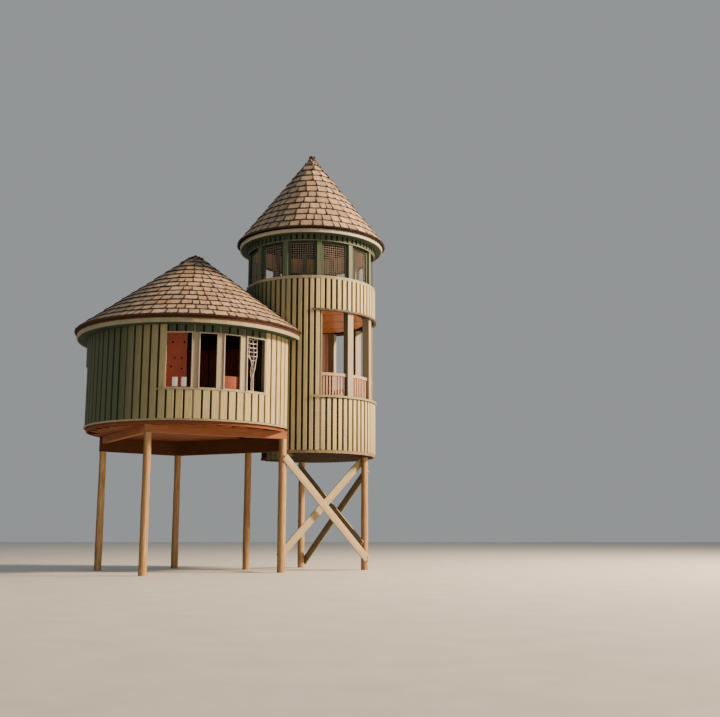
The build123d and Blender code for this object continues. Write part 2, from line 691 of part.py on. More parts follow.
# Board with finger holes that fills most of the first front window
PANEL_ANGLE = FRONT_WINDOW_POSTS[0] + half_angle(HUT_POST_WIDTH + PANEL_WIDTH + 18, HUT_RADIUS)
PANEL_HOLES = ((-0.18, 0.81), (0.36, 0.81), (-0.07, 0.53), (0.25, 0.53), (-0.23, 0.38), (0.27, 0.34))
with BuildPart() as hole_panel:
    place = around(HUT, HUT_RADIUS - 40, PANEL_ANGLE, HUT_SILL)
    height = HUT_HEAD - HUT_SILL
    with Locations(Location((place.X, place.Y, place.Z), (0, 0, PANEL_ANGLE))):
        Box(PANEL_WIDTH, PANEL_THICKNESS, height, align=(Align.CENTER, Align.CENTER, Align.MIN))
        for across, up in PANEL_HOLES:
            with Locations(Location((across * PANEL_WIDTH, 0, up * height), (90, 0, 0))):
                Cylinder(PANEL_HOLE_RADIUS, PANEL_THICKNESS * 2, mode=Mode.SUBTRACT)
save(hole_panel.part, "hole_panel")
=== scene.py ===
import logging
import math
import random
from collections.abc import Callable
from dataclasses import dataclass, field, replace
from enum import Enum

import bpy
import numpy as np
from mathutils import Matrix, Vector


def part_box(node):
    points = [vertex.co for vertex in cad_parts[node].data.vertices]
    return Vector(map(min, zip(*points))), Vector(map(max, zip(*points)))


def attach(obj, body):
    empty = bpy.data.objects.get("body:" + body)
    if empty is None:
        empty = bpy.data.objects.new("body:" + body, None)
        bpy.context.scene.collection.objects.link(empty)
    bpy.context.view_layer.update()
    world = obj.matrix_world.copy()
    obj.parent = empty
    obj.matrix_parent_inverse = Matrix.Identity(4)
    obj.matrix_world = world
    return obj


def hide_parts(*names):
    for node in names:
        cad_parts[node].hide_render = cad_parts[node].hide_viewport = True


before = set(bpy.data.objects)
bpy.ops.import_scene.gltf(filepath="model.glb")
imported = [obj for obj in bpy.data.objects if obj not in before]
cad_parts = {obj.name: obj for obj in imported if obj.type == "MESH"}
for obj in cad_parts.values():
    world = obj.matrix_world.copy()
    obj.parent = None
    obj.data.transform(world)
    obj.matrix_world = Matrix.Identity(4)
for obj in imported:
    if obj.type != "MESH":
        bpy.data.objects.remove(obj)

# A round timber hut and a round lookout tower on log poles. Lengths are in metres. Angles round a
# room are in degrees from its front, positive towards the right.

LOG = logging.getLogger("tree_house")
# Start angle, end angle, foot and head of a stretch of wall
Span = tuple[float, float, float, float]
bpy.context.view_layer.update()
# Scale of the faded patches of a wood finish, as a share of its streaks
PATCH_SHARE = 0.09
# Reach in metres of the random shift that gives every board its own stretch of grain
GRAIN_SHIFT = 40.0
# Sliver in degrees that keeps neighbouring stretches of a wall from both taking the board between them
SLIVER = 0.01
# Whole turn of a room, as start and end angle
ALL_ROUND = (0.0, 359.9)


class Grain(Enum):
    """Where a wood finish takes the run of its grain from."""

    PIECE = "grain"
    UPRIGHT = "z"
    LEVEL = "x"


class Opening(Enum):
    """What stands in one of the hut's front windows."""

    BARE = "bare"
    HOLED_BOARD = "holed board"
    LOW_BOARD = "low board"
    NET = "net"


def linear(code: str) -> tuple[float, float, float, float]:
    """Turn an sRGB hex colour into linear values.

    Args:
        code: Colour such as "#A39B78".

    Returns:
        Red, green, blue and alpha, linear.
    """
    values = [int(code[place:place + 2], 16) / 255 for place in (1, 3, 5)]
    red, green, blue = (v / 12.92 if v <= 0.04045 else ((v + 0.055) / 1.055) ** 2.4 for v in values)
    return red, green, blue, 1.0


def add_node(tree: bpy.types.NodeTree, kind: str, settings: dict, links: dict) -> bpy.types.Node:
    """Add a node to a material, set it and link it.

    Args:
        tree: Material's node tree.
        kind: Type of the shader node, such as "TexNoise".
        settings: Properties by name, and input values by name or number.
        links: Output sockets by the input's name or number.

    Returns:
        The new node.
    """
    node = tree.nodes.new(f"ShaderNode{kind}")
    for key, value in settings.items():
        if isinstance(key, str) and key in node.bl_rna.properties:
            setattr(node, key, value)
        else:
            node.inputs[key].default_value = value
    for key, socket in links.items():
        tree.links.new(socket, node.inputs[key])
    return node


def new_material(name: str) -> tuple[bpy.types.Material, bpy.types.NodeTree]:
    """Start a node material with an untouched shader.

    Args:
        name: Material's name.

    Returns:
        The material and its node tree.
    """
    material = bpy.data.materials.new(name)
    material.use_nodes = True
    return material, material.node_tree


def wash(tree: bpy.types.NodeTree, colour: bpy.types.NodeSocket, over: str,
         value: bpy.types.NodeSocket, limits: dict) -> bpy.types.NodeSocket:
    """Lay one colour over another as far as a value says.

    Args:
        tree: Material's node tree.
        colour: Colour below.
        over: Colour on top, sRGB hex.
        value: Value that brings the top colour in.
        limits: Ends of the value's range and of the share that they give.

    Returns:
        The mixed colour.
    """
    share = add_node(tree, "MapRange", limits, {"Value": value}).outputs["Result"]
    mix = {"data_type": "RGBA", 7: linear(over)}
    return add_node(tree, "Mix", mix, {0: share, 6: colour}).outputs[2]


def surface(tree: bpy.types.NodeTree, colour: bpy.types.NodeSocket,
            gloss: tuple[bpy.types.NodeSocket, float, float],
            relief: tuple[bpy.types.NodeSocket, float, float] | None = None) -> bpy.types.Node:
    """Bring colour, gloss and relief to a material's shader.

    Args:
        tree: Material's node tree.
        colour: Finished colour.
        gloss: Value that steers the roughness, and the roughness at its low and its high end.
        relief: Height, strength and depth in millimetres of the bumps, if there are any.

    Returns:
        The shader.
    """
    shader = tree.nodes["Principled BSDF"]
    value, low, high = gloss
    rough = add_node(tree, "MapRange", {"To Min": low, "To Max": high}, {"Value": value})
    tree.links.new(colour, shader.inputs["Base Color"])
    tree.links.new(rough.outputs["Result"], shader.inputs["Roughness"])
    if relief:
        height, strength, depth = relief
        depth_m = {"Strength": strength, "Distance": depth / 1000}
        bumps = add_node(tree, "Bump", depth_m, {"Height": height})
        tree.links.new(bumps.outputs["Normal"], shader.inputs["Normal"])
    return shader


@dataclass(frozen=True)
class WoodFinish:
    """Timber with a grain, a wash of stain or paint, weathering, and in some finishes painted shade.

    The eye reads long fine streaks along the board, broad patches where the coat has faded, and a
    slight step of tone from board to board.

    Attributes:
        name: Material's name.
        pale: Colour between the streaks.
        deep: Colour of the streaks.
        faded: Colour of the broad patches.
        fading: How far the patches cover the rest.
        grain_mm: Width of a streak.
        grain_run: Length of a streak over its width.
        roughness: Mean roughness.
        relief_mm: Depth of the grain.
        grain: Where the run of the grain comes from.
        turn: Degrees that the timber is turned about Z, where its grain is level.
        tone_spread: Step of tone from board to board.
        coat: Weight of the clear coat.
        specular: Strength of the reflection.
        wear_and_shade: Colour laid on the edges marked for weathered end grain and painted shade, if any.
        painted_shade_colour: Colour of painted shade laid on the left-facing faces, and with by_place on
            the left part of the building, if any.
        turned_from: X at which that colour begins to come in.
        turned_to: X at which it is fully in.
        by_place: Whether that X is the place on the building or else the direction a face looks in.
    """

    name: str
    pale: str
    deep: str
    faded: str
    fading: float
    grain_mm: float
    grain_run: float = 22.0
    roughness: float = 0.72
    relief_mm: float = 0.8
    grain: Grain = Grain.PIECE
    turn: float = 0.0
    tone_spread: float = 0.0
    coat: float = 0.0
    specular: float = 0.5
    wear_and_shade: str = ""
    painted_shade_colour: str = ""
    turned_from: float = 0.1
    turned_to: float = -0.85
    by_place: bool = False

    def grain_place(self, tree: bpy.types.NodeTree) -> tuple[bpy.types.NodeSocket, tuple[float, ...]]:
        """Find the coordinates that the grain follows.

        Args:
            tree: Material's node tree.

        Returns:
            Their socket, and the streaks to the metre along each of them.
        """
        fine = 1000.0 / self.grain_mm
        long = fine / self.grain_run
        if self.grain is Grain.PIECE:
            source = add_node(tree, "UVMap", {"uv_map": Grain.PIECE.value}, {})
            return source.outputs["UV"], (fine, long, fine)
        place = add_node(tree, "TexCoord", {}, {}).outputs["Object"]
        turned_back = {"Rotation": (0, 0, -math.radians(self.turn))}
        source = add_node(tree, "Mapping", turned_back, {"Vector": place})
        scale = (fine, fine, long) if self.grain is Grain.UPRIGHT else (long, fine, fine)
        return source.outputs["Vector"], scale

    def material(self) -> bpy.types.Material:
        """Build the node material of this finish.

        Returns:
            The material.
        """
        material, tree = new_material(self.name)
        source, scale = self.grain_place(tree)
        noises = []
        for share, noise in (
            (1.0, {"Scale": 1.0, "Detail": 5.0, "Roughness": 0.62, "Distortion": 0.35}),
            (PATCH_SHARE, {"Scale": 1.0, "Detail": 3.0, "Roughness": 0.55}),
        ):
            spread = {"Scale": tuple(value * share for value in scale)}
            place = add_node(tree, "Mapping", spread, {"Vector": source}).outputs["Vector"]
            noises.append(add_node(tree, "TexNoise", noise, {"Vector": place}).outputs["Fac"])
        streaks, patches = noises
        limits = {"From Min": 0.3, "From Max": 0.68}
        grain = add_node(tree, "MapRange", limits, {"Value": streaks}).outputs["Result"]
        wood = {"data_type": "RGBA", 6: linear(self.deep), 7: linear(self.pale)}
        colour = add_node(tree, "Mix", wood, {0: grain}).outputs[2]
        limits = {"From Min": 0.42, "From Max": 0.7, "To Max": self.fading}
        colour = wash(tree, colour, self.faded, patches, limits)
        if self.tone_spread:
            tone = add_node(tree, "Attribute", {"attribute_name": "tone"}, {}).outputs["Fac"]
            limits = {"To Min": 1.0 - self.tone_spread, "To Max": 1.0 + self.tone_spread}
            value = add_node(tree, "MapRange", limits, {"Value": tone}).outputs["Result"]
            shifted = add_node(tree, "HueSaturation", {}, {"Value": value, "Color": colour})
            colour = shifted.outputs["Color"]
        # Marked edges darken: weathered end grain, and painted shade in the joints and under the butts
        if self.wear_and_shade:
            edge = add_node(tree, "Attribute", {"attribute_name": "wear_and_shade"}, {}).outputs["Fac"]
            colour = wash(tree, colour, self.wear_and_shade, edge, {"From Min": 0.25, "From Max": 0.9})
        # Painted shade: left-facing faces, and with by_place the left part of the building, darken towards
        # a deep colour
        if self.painted_shade_colour:
            facts = add_node(tree, "TexCoord", {}, {})
            side = facts.outputs["Object" if self.by_place else "Normal"]
            away = add_node(tree, "SeparateXYZ", {}, {"Vector": side}).outputs["X"]
            limits = {"From Min": self.turned_from, "From Max": self.turned_to, "To Max": 0.9}
            colour = wash(tree, colour, self.painted_shade_colour, away, limits)
        gloss = (grain, self.roughness + 0.1, self.roughness - 0.08)
        shader = surface(tree, colour, gloss, (streaks, 0.7, self.relief_mm))
        shader.inputs["IOR"].default_value = 1.5
        shader.inputs["Specular IOR Level"].default_value = self.specular
        shader.inputs["Coat Weight"].default_value = self.coat
        return material


@dataclass(frozen=True)
class MetalFinish:
    """Hot-dip zinc on steel: dull grey with broad crystals and a soft broken shine."""

    name: str
    pale: str
    deep: str
    spangle_mm: float = 12.0
    roughness: float = 0.42

    def material(self) -> bpy.types.Material:
        """Build the node material of this finish.

        Returns:
            The material.
        """
        material, tree = new_material(self.name)
        place = add_node(tree, "TexCoord", {}, {}).outputs["Object"]
        size = {"Scale": 1000.0 / self.spangle_mm}
        crystals = add_node(tree, "TexVoronoi", size, {"Vector": place}).outputs["Distance"]
        tones = {"data_type": "RGBA", 6: linear(self.deep), 7: linear(self.pale)}
        colour = add_node(tree, "Mix", tones, {0: crystals}).outputs[2]
        gloss = (crystals, self.roughness - 0.08, self.roughness + 0.12)
        surface(tree, colour, gloss).inputs["Metallic"].default_value = 1.0
        return material


@dataclass(frozen=True)
class SpeckledFinish:
    """A coat or fibre with a fine fleck: twisted rope, glazed tile, painted wire or plain concrete."""

    name: str
    pale: str
    deep: str
    fleck_mm: float
    roughness: float
    relief_mm: float = 0.3
    coat: float = 0.0

    def material(self) -> bpy.types.Material:
        """Build the node material of this finish.

        Returns:
            The material.
        """
        material, tree = new_material(self.name)
        place = add_node(tree, "TexCoord", {}, {}).outputs["Object"]
        fleck = {"Scale": 1000.0 / self.fleck_mm, "Detail": 4.0, "Roughness": 0.6}
        flecks = add_node(tree, "TexNoise", fleck, {"Vector": place}).outputs["Fac"]
        limits = {"From Min": 0.35, "From Max": 0.65}
        share = add_node(tree, "MapRange", limits, {"Value": flecks}).outputs["Result"]
        tones = {"data_type": "RGBA", 6: linear(self.deep), 7: linear(self.pale)}
        colour = add_node(tree, "Mix", tones, {0: share}).outputs[2]
        gloss = (share, self.roughness - 0.05, self.roughness + 0.08)
        shader = surface(tree, colour, gloss, (flecks, 0.5, self.relief_mm))
        shader.inputs["Coat Weight"].default_value = self.coat
        return material


# Softwood boards under a weathered solid stain: chalky tan, streaked by rain, no two boards quite alike,
# and darkened to deep green towards the left as painted shade
SIDING = WoodFinish("stained_siding_painted_shade", "#CBBC8F", "#A2966A", "#B9B08E", 0.5, 26,
                    tone_spread=0.08, relief_mm=0.9, painted_shade_colour="#3E5034",
                    turned_from=2.96, turned_to=0.9, by_place=True)
# The hut's boards under the same stain, with the painted shade deepening to dark green towards the hut's
# left
HUT_SIDING = replace(SIDING, name="hut_siding_painted_shade", pale="#C4B588", deep="#988D60",
                     faded="#B0A784", painted_shade_colour="#2C3E2A", turned_from=-1.3, turned_to=-3.1)
# The backing seen in the grooves between boards, dark brown: painted shade for the recesses
GROOVE = WoodFinish("dark_backing_painted_groove_shade", "#34291A", "#211A10", "#2B2618", 0.5, 30,
                    grain=Grain.UPRIGHT, roughness=0.85, specular=0.2)
# The same dark on a thin strip beside the balcony's front post: a painted shadow line
CORNER_SHADOW_LINE = WoodFinish("dark_corner_painted_shadow", "#34291A", "#211A10", "#2B2618", 0.5, 30,
                          roughness=0.85, specular=0.2)
# Boards close under the eaves, darkened to deep olive green as painted shade from the eave
EAVE_SHADE_SIDING = WoodFinish("olive_siding_painted_eave_shade", "#465240", "#303A2C", "#4E5A46", 0.5, 26,
                       tone_spread=0.08, relief_mm=0.9)
# Planed trim under a thin tan-grey coat: smoother than the siding, with hardly any relief
TRIM = WoodFinish("painted_softwood_trim", "#A0957C", "#827860", "#AAA08A", 0.5, 30,
                  grain=Grain.UPRIGHT, roughness=0.6, relief_mm=0.4)
# The tower fascia's coat, greyer and chalkier than the trim, so that the eave reads as a clean line
FASCIA = replace(TRIM, name="grey_fascia_paint", pale="#B8B2A2", deep="#969082", faded="#C0BAAC")
# Window frames in the trim's coat, a little paler, each bar with its own tone and run of grain
TRIM_BOARD = WoodFinish("painted_trim_boards", "#B3A890", "#978C74", "#BDB3A0", 0.5, 30,
                        roughness=0.6, relief_mm=0.4, tone_spread=0.05)
# Narrow edge boards with the stain worn through to tan-brown wood
EDGE = WoodFinish("tan_brown_edge_trim", "#8C7B5A", "#60523A", "#8E8268", 0.5, 24,
                  grain=Grain.UPRIGHT, roughness=0.66, relief_mm=0.6)
# The head board over the balcony, darkened to dark brown as painted shade
HEAD_EDGE = replace(EDGE, name="head_trim_painted_shade", pale="#5A4A36", deep="#3A2F22", faded="#625442")
# Undersides and frames under the loft's eave in the darkest green: painted shade
DEEP_GREEN = WoodFinish("deep_green_painted_shade", "#3A4A3A", "#263226", "#445443", 0.5, 32,
                        roughness=0.72, specular=0.3)
# The soffits in the same painted-shade green, the grain level: a quiet dark ring under each roof
SOFFIT = replace(DEEP_GREEN, name="deep_green_soffit_painted_shade", grain=Grain.LEVEL)
# Square posts under a thin grey-tan stain; painted shade makes their left-facing faces near black
POST = WoodFinish("stained_posts_painted_shade", "#A89D86", "#887D67", "#B2A794", 0.5, 32,
                  grain=Grain.UPRIGHT, roughness=0.68, painted_shade_colour="#2E3122")
# Loft posts and head boards in a deeper grey-green: painted shade
SHADED = WoodFinish("grey_green_painted_shade", "#5E6A56", "#424C3C", "#68745E", 0.5, 32,
                    grain=Grain.UPRIGHT, roughness=0.68)
# Split cedar shakes: each a single split, so tone jumps from shake to shake, silvered on top, with feet and
# side edges darkened for weathered end grain and as painted shade in the joints and under the butts
SHAKE = WoodFinish("split_cedar_shakes", "#BEA48A", "#7A624D", "#C0AC98", 0.6, 16,
                   grain_run=14, roughness=0.82, relief_mm=2.2, tone_spread=0.22, wear_and_shade="#382A20")
# Peeled pine poles: honey brown with long checks and a sheen where the bark came off; painted shade darkens
# their left-facing faces
POLE = WoodFinish("peeled_pine_pole_painted_shade", "#DAB27C", "#7A5834", "#8E6442", 0.55, 26,
                  grain_run=24, roughness=0.66, relief_mm=2.0, tone_spread=0.08, painted_shade_colour="#6A4A26")
# Rough-sawn treated pine, gone grey-tan like the planks of an old jetty; painted shade darkens the
# left-facing faces
PLANK = WoodFinish("weathered_planks_painted_shade", "#BEAA82", "#907D59", "#B6AA8C", 0.6, 20,
                   roughness=0.8, relief_mm=1.4, tone_spread=0.08, painted_shade_colour="#3C3525")
# Stained construction timber under the floor: warm red-brown with a coarse sawn grain
BEAM = WoodFinish("red_brown_stained_beams", "#AC6A3C", "#774422", "#8C5A38", 0.5, 24,
                  grain=Grain.LEVEL, roughness=0.7, relief_mm=1.2)
# The same timber, darker and dull: painted shade for timber that lies in shadow
SHADE_DARK_BEAM = WoodFinish("dark_brown_beams_painted_shade", "#5E3820", "#3C2210", "#4E3422", 0.5, 24,
                       grain=Grain.LEVEL, roughness=0.8, relief_mm=1.2, specular=0.2)
# Boards under the tower, black-brown as painted shade, so that the room seems to float over its poles
UNDERSIDE = WoodFinish("dark_brown_boards_painted_shade", "#33220F", "#1D1206", "#2A1E10", 0.5, 22,
                       roughness=0.85, relief_mm=1.0, tone_spread=0.15, specular=0.1)
# Red-brown boards that close the underside of the hut, lit only from the ground
SOFFIT_BOARD = WoodFinish("red_brown_underside_boards", "#8E5230", "#5E3219", "#764830", 0.5, 26,
                          roughness=0.75, relief_mm=0.8, tone_spread=0.06, specular=0.2)
# Softwood decking that feet and rain have bleached to a grey tan, board by board
DECKING = WoodFinish("grey_tan_decking", "#B4A288", "#8A785F", "#ADA08C", 0.6, 22,
                     roughness=0.8, relief_mm=1.0, tone_spread=0.12)
# Indoor floor boards under red-brown stain, worn dull, each with its own tone
BOARDING = WoodFinish("red_brown_floor_boards", "#8F5738", "#643822", "#74503A", 0.5, 22,
                      roughness=0.7, relief_mm=1.0, tone_spread=0.12)
# Varnished orange-brown ceiling boards: warm, with a low sheen
CEILING = WoodFinish("varnished_pine_ceiling", "#CC7C42", "#9E5628", "#B8703E", 0.4, 20,
                     roughness=0.5, relief_mm=0.6, tone_spread=0.1, coat=0.15)
# Darker strips over the joints of that ceiling, which give it its broad stripes
COVER_STRIP = replace(CEILING, name="ceiling_cover_strips", pale="#9A5A2C", deep="#6E3C1A")
# Planed pine boards inside the balcony, pinkish, made paler than the wood as painted light so that the room
# stays light
LINING = WoodFinish("pink_wall_lining_painted_light", "#F6E4D6", "#D6BCA6", "#EAD8C8", 0.45, 22,
                    roughness=0.62, relief_mm=0.7, tone_spread=0.12)
# The same boards in the loft with no wash: tan pine gone yellow
LOFT_LINING = WoodFinish("tan_loft_lining", "#DCC088", "#AE9466", "#C8AC7C", 0.45, 22,
                         roughness=0.66, relief_mm=0.7, tone_spread=0.12)
# The same boards in the hut under red-brown stain, made brighter than the stain as painted light, so that
# the room behind its windows is warm and dark, not black
HUT_LINING = WoodFinish("red_brown_lining_painted_light", "#DE7048", "#A44826", "#C8683E", 0.45, 22,
                        roughness=0.62, relief_mm=0.7, tone_spread=0.12)
# Oiled rail and balusters: smooth, pinkish brown, polished a little by hands
RAIL = WoodFinish("oiled_softwood_rail", "#CAAA90", "#9E7E66", "#B8A08A", 0.5, 18,
                  grain=Grain.UPRIGHT, roughness=0.6, relief_mm=0.5)
# Roof boards under the shakes, near black, so that they read as the shadow between two shakes
SHEATHING = WoodFinish("dark_roof_boarding", "#231F17", "#15120D", "#1E1B14", 0.4, 26,
                       grain=Grain.UPRIGHT, roughness=0.85, specular=0.1)
# The hut's roof boards, red-brown where they show inside
HUT_SHEATHING = WoodFinish("red_brown_roof_boarding", "#4E2A1A", "#32190E", "#42251A", 0.4, 26,
                           grain=Grain.UPRIGHT, roughness=0.8, specular=0.2)
# Plywood under orange-red gloss paint
PLAY_BOARD = WoodFinish("orange_red_painted_plywood", "#943604", "#6E2502", "#86390A", 0.5, 34,
                        grain=Grain.UPRIGHT, grain_run=8, roughness=0.5, relief_mm=0.3, coat=0.2)
# The same plywood left longer in the weather: faded, patchy and less glossy
LOW_BOARD = WoodFinish("faded_orange_plywood", "#8E3C12", "#682608", "#824220", 0.6, 34,
                       grain_run=8, roughness=0.55, relief_mm=0.3)
# Three-strand polyester rope: off-white, matt and slightly fuzzy
ROPE = SpeckledFinish("off_white_polyester_rope", "#DDD3D0", "#AFA2A0", 6, 0.85, 1.2)
# Welded mesh with a pinkish-white plastic coat that takes a soft highlight
MESH_WIRE = SpeckledFinish("plastic_coated_wire_mesh", "#E4D8D0", "#BEB0A8", 20, 0.5)
# Glazed earthenware: glass-smooth, with faint clouding under the glaze
TILE = SpeckledFinish("white_glazed_tile", "#EFEDE8", "#DCDCD8", 40, 0.16, 0.1, 0.5)
# Zinc-coated steel: grey crystals with a soft broken shine
STEEL = MetalFinish("galvanised_steel", "#B4B8BC", "#7C8186")
# Pale smooth studio floor
FLOOR = SpeckledFinish("pale_studio_floor", "#CCCBC7", "#C4C3BF", 900, 0.75)


class Materials:
    """Makes each finish once and hands it out."""

    made: dict = {}

    @classmethod
    def of(cls, finish: WoodFinish | MetalFinish | SpeckledFinish) -> bpy.types.Material:
        """Give the material of a finish.

        Args:
            finish: Finish that a piece takes.

        Returns:
            Its material, made at the first call.
        """
        if finish.name not in cls.made:
            cls.made[finish.name] = finish.material()
        return cls.made[finish.name]


def pick(*objects: bpy.types.Object) -> None:
    """Select only these objects and make the first one active.

    Args:
        objects: Objects to select.
    """
    bpy.ops.object.select_all(action="DESELECT")
    for item in objects:
        item.select_set(True)
    bpy.context.view_layer.objects.active = objects[0]


def around(centre: Vector, radius: float, angle: float, height: float = 0.0) -> Vector:
    """Point at an angle and a radius from a room's centre.

    Args:
        centre: Room's centre in plan.
        radius: Distance from the centre.
        angle: Degrees from the front, positive towards the right.
        height: Height above the ground.

    Returns:
        The point.
    """
    turn = math.radians(angle)
    return Vector((centre.x + radius * math.sin(turn), centre.y - radius * math.cos(turn), height))


def moved(x: float, y: float, z: float) -> Matrix:
    """Shift along the axes."""
    return Matrix.Translation((x, y, z))


def turned(degrees: float, axis: str) -> Matrix:
    """Turn about an axis."""
    return Matrix.Rotation(math.radians(degrees), 4, axis)


def facing(centre: Vector, radius: float, angle: float, height: float) -> Matrix:
    """Place on a round wall, with local X along the wall, -Y outwards and Z up."""
    return Matrix.Translation(around(centre, radius, angle, height)) @ turned(angle, "Z")


def sized(width: float, depth: float, length: float) -> Matrix:
    """Stretch of a blank along X, Y and Z."""
    return Matrix.Diagonal((width, depth, length, 1.0))


def start_blank(primitive: Callable, scale: tuple[float, float, float] = (1.0, 1.0, 1.0),
                **settings: object) -> bpy.types.Object:
    """Add a primitive with nothing else selected, at its size and place.

    Args:
        primitive: Operator that adds it.
        scale: Stretch along its own X, Y and Z.
        settings: What the operator is given.

    Returns:
        The new object, its transform in its mesh.
    """
    bpy.ops.object.select_all(action="DESELECT")
    primitive(**settings)
    blank = bpy.context.active_object
    blank.scale = scale
    bpy.ops.object.transform_apply(location=True, rotation=True, scale=True)
    return blank


def draw_wires(grid: bpy.types.Object, thickness: float) -> None:
    """Turn the edges of a grid into wires.

    Args:
        grid: Flat grid.
        thickness: Thickness of a wire.
    """
    wires = grid.modifiers.new("wires", "WIREFRAME")
    wires.thickness = thickness
    wires.use_boundary = True
    bpy.ops.object.modifier_apply(modifier=wires.name)


def choose_edges(blank: bpy.types.Object, axis: int) -> None:
    """Select, in edit mode, the edges that run along one axis.

    Args:
        blank: Object in edit mode.
        axis: 0, 1 or 2 for X, Y or Z.
    """
    bpy.ops.mesh.select_all(action="DESELECT")
    bpy.ops.object.mode_set(mode="OBJECT")
    mesh = blank.data
    for edge in mesh.edges:
        first, second = (mesh.vertices[index].co for index in edge.vertices)
        along = second - first
        edge.select = abs(along[axis]) > 0.98 * along.length
    bpy.ops.object.mode_set(mode="EDIT")
    # The first call of a run finds Blender in vertex mode, where the four edges bring in the other
    # eight: the tower's siding, which is built first, so has its boards' ends chamfered as well
    bpy.ops.mesh.select_mode(type="EDGE")


def board_blank(width: float, depth: float, length: float, round_off: float,
                segments: int = 1) -> bpy.types.Object:
    """Model one straight board with its long arrises taken off.

    Args:
        width: Size along X, centred.
        depth: Size along Y, from the wall at 0 outwards to -depth.
        length: Size along Z, from 0 up.
        round_off: Width of the chamfer on the long edges.
        segments: Steps across the chamfer.

    Returns:
        The blank, to be copied.
    """
    middle = (0, -depth / 2, length / 2)
    blank = start_blank(bpy.ops.mesh.primitive_cube_add, (width, depth, length), size=1.0, location=middle)
    bpy.ops.object.mode_set(mode="EDIT")
    choose_edges(blank, 2)
    bpy.ops.mesh.bevel(offset=round_off, segments=segments, affect="EDGES")
    bpy.ops.object.mode_set(mode="OBJECT")
    return blank


def copy_out(name: str, blank: bpy.types.Object, places: list[Matrix], seed: int,
             run: int = 2) -> bpy.types.Object:
    """Copy a blank to many places, each copy with its own mesh, and join the copies to one piece.

    Every copy gets a grain map in metres that runs along the timber and a tone of its own.

    Args:
        name: Finished piece's name.
        blank: Modelled piece, removed once it is copied.
        places: Matrix of each copy.
        seed: Start of the random grain shifts and tones.
        run: Axis of the blank that the grain follows.

    Returns:
        The joined piece, its place in its mesh.
    """
    dice = random.Random(seed)
    source = blank.data
    corners = np.empty(len(source.loops), dtype=np.int32)
    source.loops.foreach_get("vertex_index", corners)
    points = np.empty(len(source.vertices) * 3)
    source.vertices.foreach_get("co", points)
    points = points.reshape(-1, 3)[corners]
    across = np.empty(len(corners), dtype=np.int32)
    others = [axis for axis in range(3) if axis != run]
    for face in source.polygons:
        normal = [abs(face.normal[axis]) for axis in others]
        across[face.loop_start:face.loop_start + face.loop_total] = others[int(normal[0] > normal[1])]
    rows = np.arange(len(corners))
    copies = []
    for place in places:
        mesh = source.copy()
        mesh.transform(place)
        stretch = np.array(place.to_scale())
        flat = np.empty((len(corners), 2))
        flat[:, 0] = (points * stretch)[rows, across] + dice.uniform(0, GRAIN_SHIFT)
        flat[:, 1] = points[:, run] * stretch[run] + dice.uniform(0, GRAIN_SHIFT)
        grain = mesh.uv_layers.get("grain") or mesh.uv_layers.new(name="grain")
        grain.data.foreach_set("uv", flat.astype(np.float32).ravel())
        tone = mesh.attributes.new("tone", "FLOAT", "POINT")
        tone.data.foreach_set("value", np.full(len(mesh.vertices), dice.random(), dtype=np.float32))
        copy = bpy.data.objects.new(name, mesh)
        bpy.context.collection.objects.link(copy)
        copies.append(copy)
    pick(*copies)
    if len(copies) > 1:
        bpy.ops.object.join()
    piece = bpy.context.active_object
    piece.name = name
    for layer in [layer for layer in piece.data.uv_layers if layer.name != "grain"]:
        piece.data.uv_layers.remove(layer)
    bpy.data.objects.remove(blank)
    bpy.data.meshes.remove(source)
    return piece


def dress(piece: bpy.types.Object, finish: WoodFinish | MetalFinish | SpeckledFinish,
          smooth: float = 30.0) -> bpy.types.Object:
    """Give a new piece its finish and its body, and report it.

    Args:
        piece: Finished piece.
        finish: Finish that it takes.
        smooth: Angle in degrees under which faces are shaded smooth.

    Returns:
        The same piece.
    """
    piece.data.materials.clear()
    piece.data.materials.append(Materials.of(finish))
    pick(piece)
    bpy.ops.object.shade_smooth_by_angle(angle=math.radians(smooth))
    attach(piece, "root")
    LOG.info("%s: %d faces", piece.name, len(piece.data.polygons))
    return piece


def repaint(finish: WoodFinish, *names: str) -> None:
    """Give CAD nodes a better material.

    Args:
        finish: Finish that they take.
        names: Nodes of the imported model.
    """
    for name in names:
        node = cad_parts[name]
        for item in node.material_slots:
            item.material = Materials.of(finish)
        if not node.material_slots:
            node.data.materials.append(Materials.of(finish))
        LOG.info("%s: finish %s", name, finish.name)


def middle_of(name: str) -> Vector:
    """Centre in plan of a CAD node."""
    low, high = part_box(name)
    return Vector(((low.x + high.x) / 2, (low.y + high.y) / 2, 0.0))


def within(angle: float, start: float, end: float) -> bool:
    """Whether an angle lies between two others, going round to the right."""
    return (angle - start) % 360.0 <= (end - start) % 360.0


@dataclass
class Siding:
    """Ring of upright boards round a wall, with dark grooves between them."""

    name: str
    centre: Vector
    radius: float
    count: int
    first: float
    spans: list[Span]
    finish: WoodFinish = SIDING
    slot: str = "siding"
    width: float = 0.131
    depth: float = 0.05
    seed: int = 1
    inside: bool = False
    arris: float = 0.006
    uneven: float = 0.002
    short: float = 0.003
    spread: float = 0.02

    def places(self) -> list[Matrix]:
        """Work out the place of every board.

        Returns:
            One matrix to each board and span that it belongs to.
        """
        dice = random.Random(self.seed)
        side = turned(180.0 if self.inside else 0.0, "Z")
        found = []
        for step in range(self.count):
            angle = self.first + 360.0 * step / self.count
            for start, end, bottom, top in self.spans:
                if within(angle, start, end):
                    lift = dice.uniform(-self.short, 0.0)
                    proud = dice.uniform(-self.uneven, self.uneven)
                    place = facing(self.centre, self.radius + proud, angle, bottom)
                    width = dice.uniform(1.0 - self.spread, 1.0 + self.spread)
                    found.append(place @ side @ sized(width, 1.0, top - bottom + lift))
        return found

    def build(self) -> bpy.types.Object:
        """Model one board, copy it round the wall and dress the ring."""
        blank = board_blank(self.width, self.depth, 1.0, self.arris)
        return dress(copy_out(self.name, blank, self.places(), self.seed), self.finish)


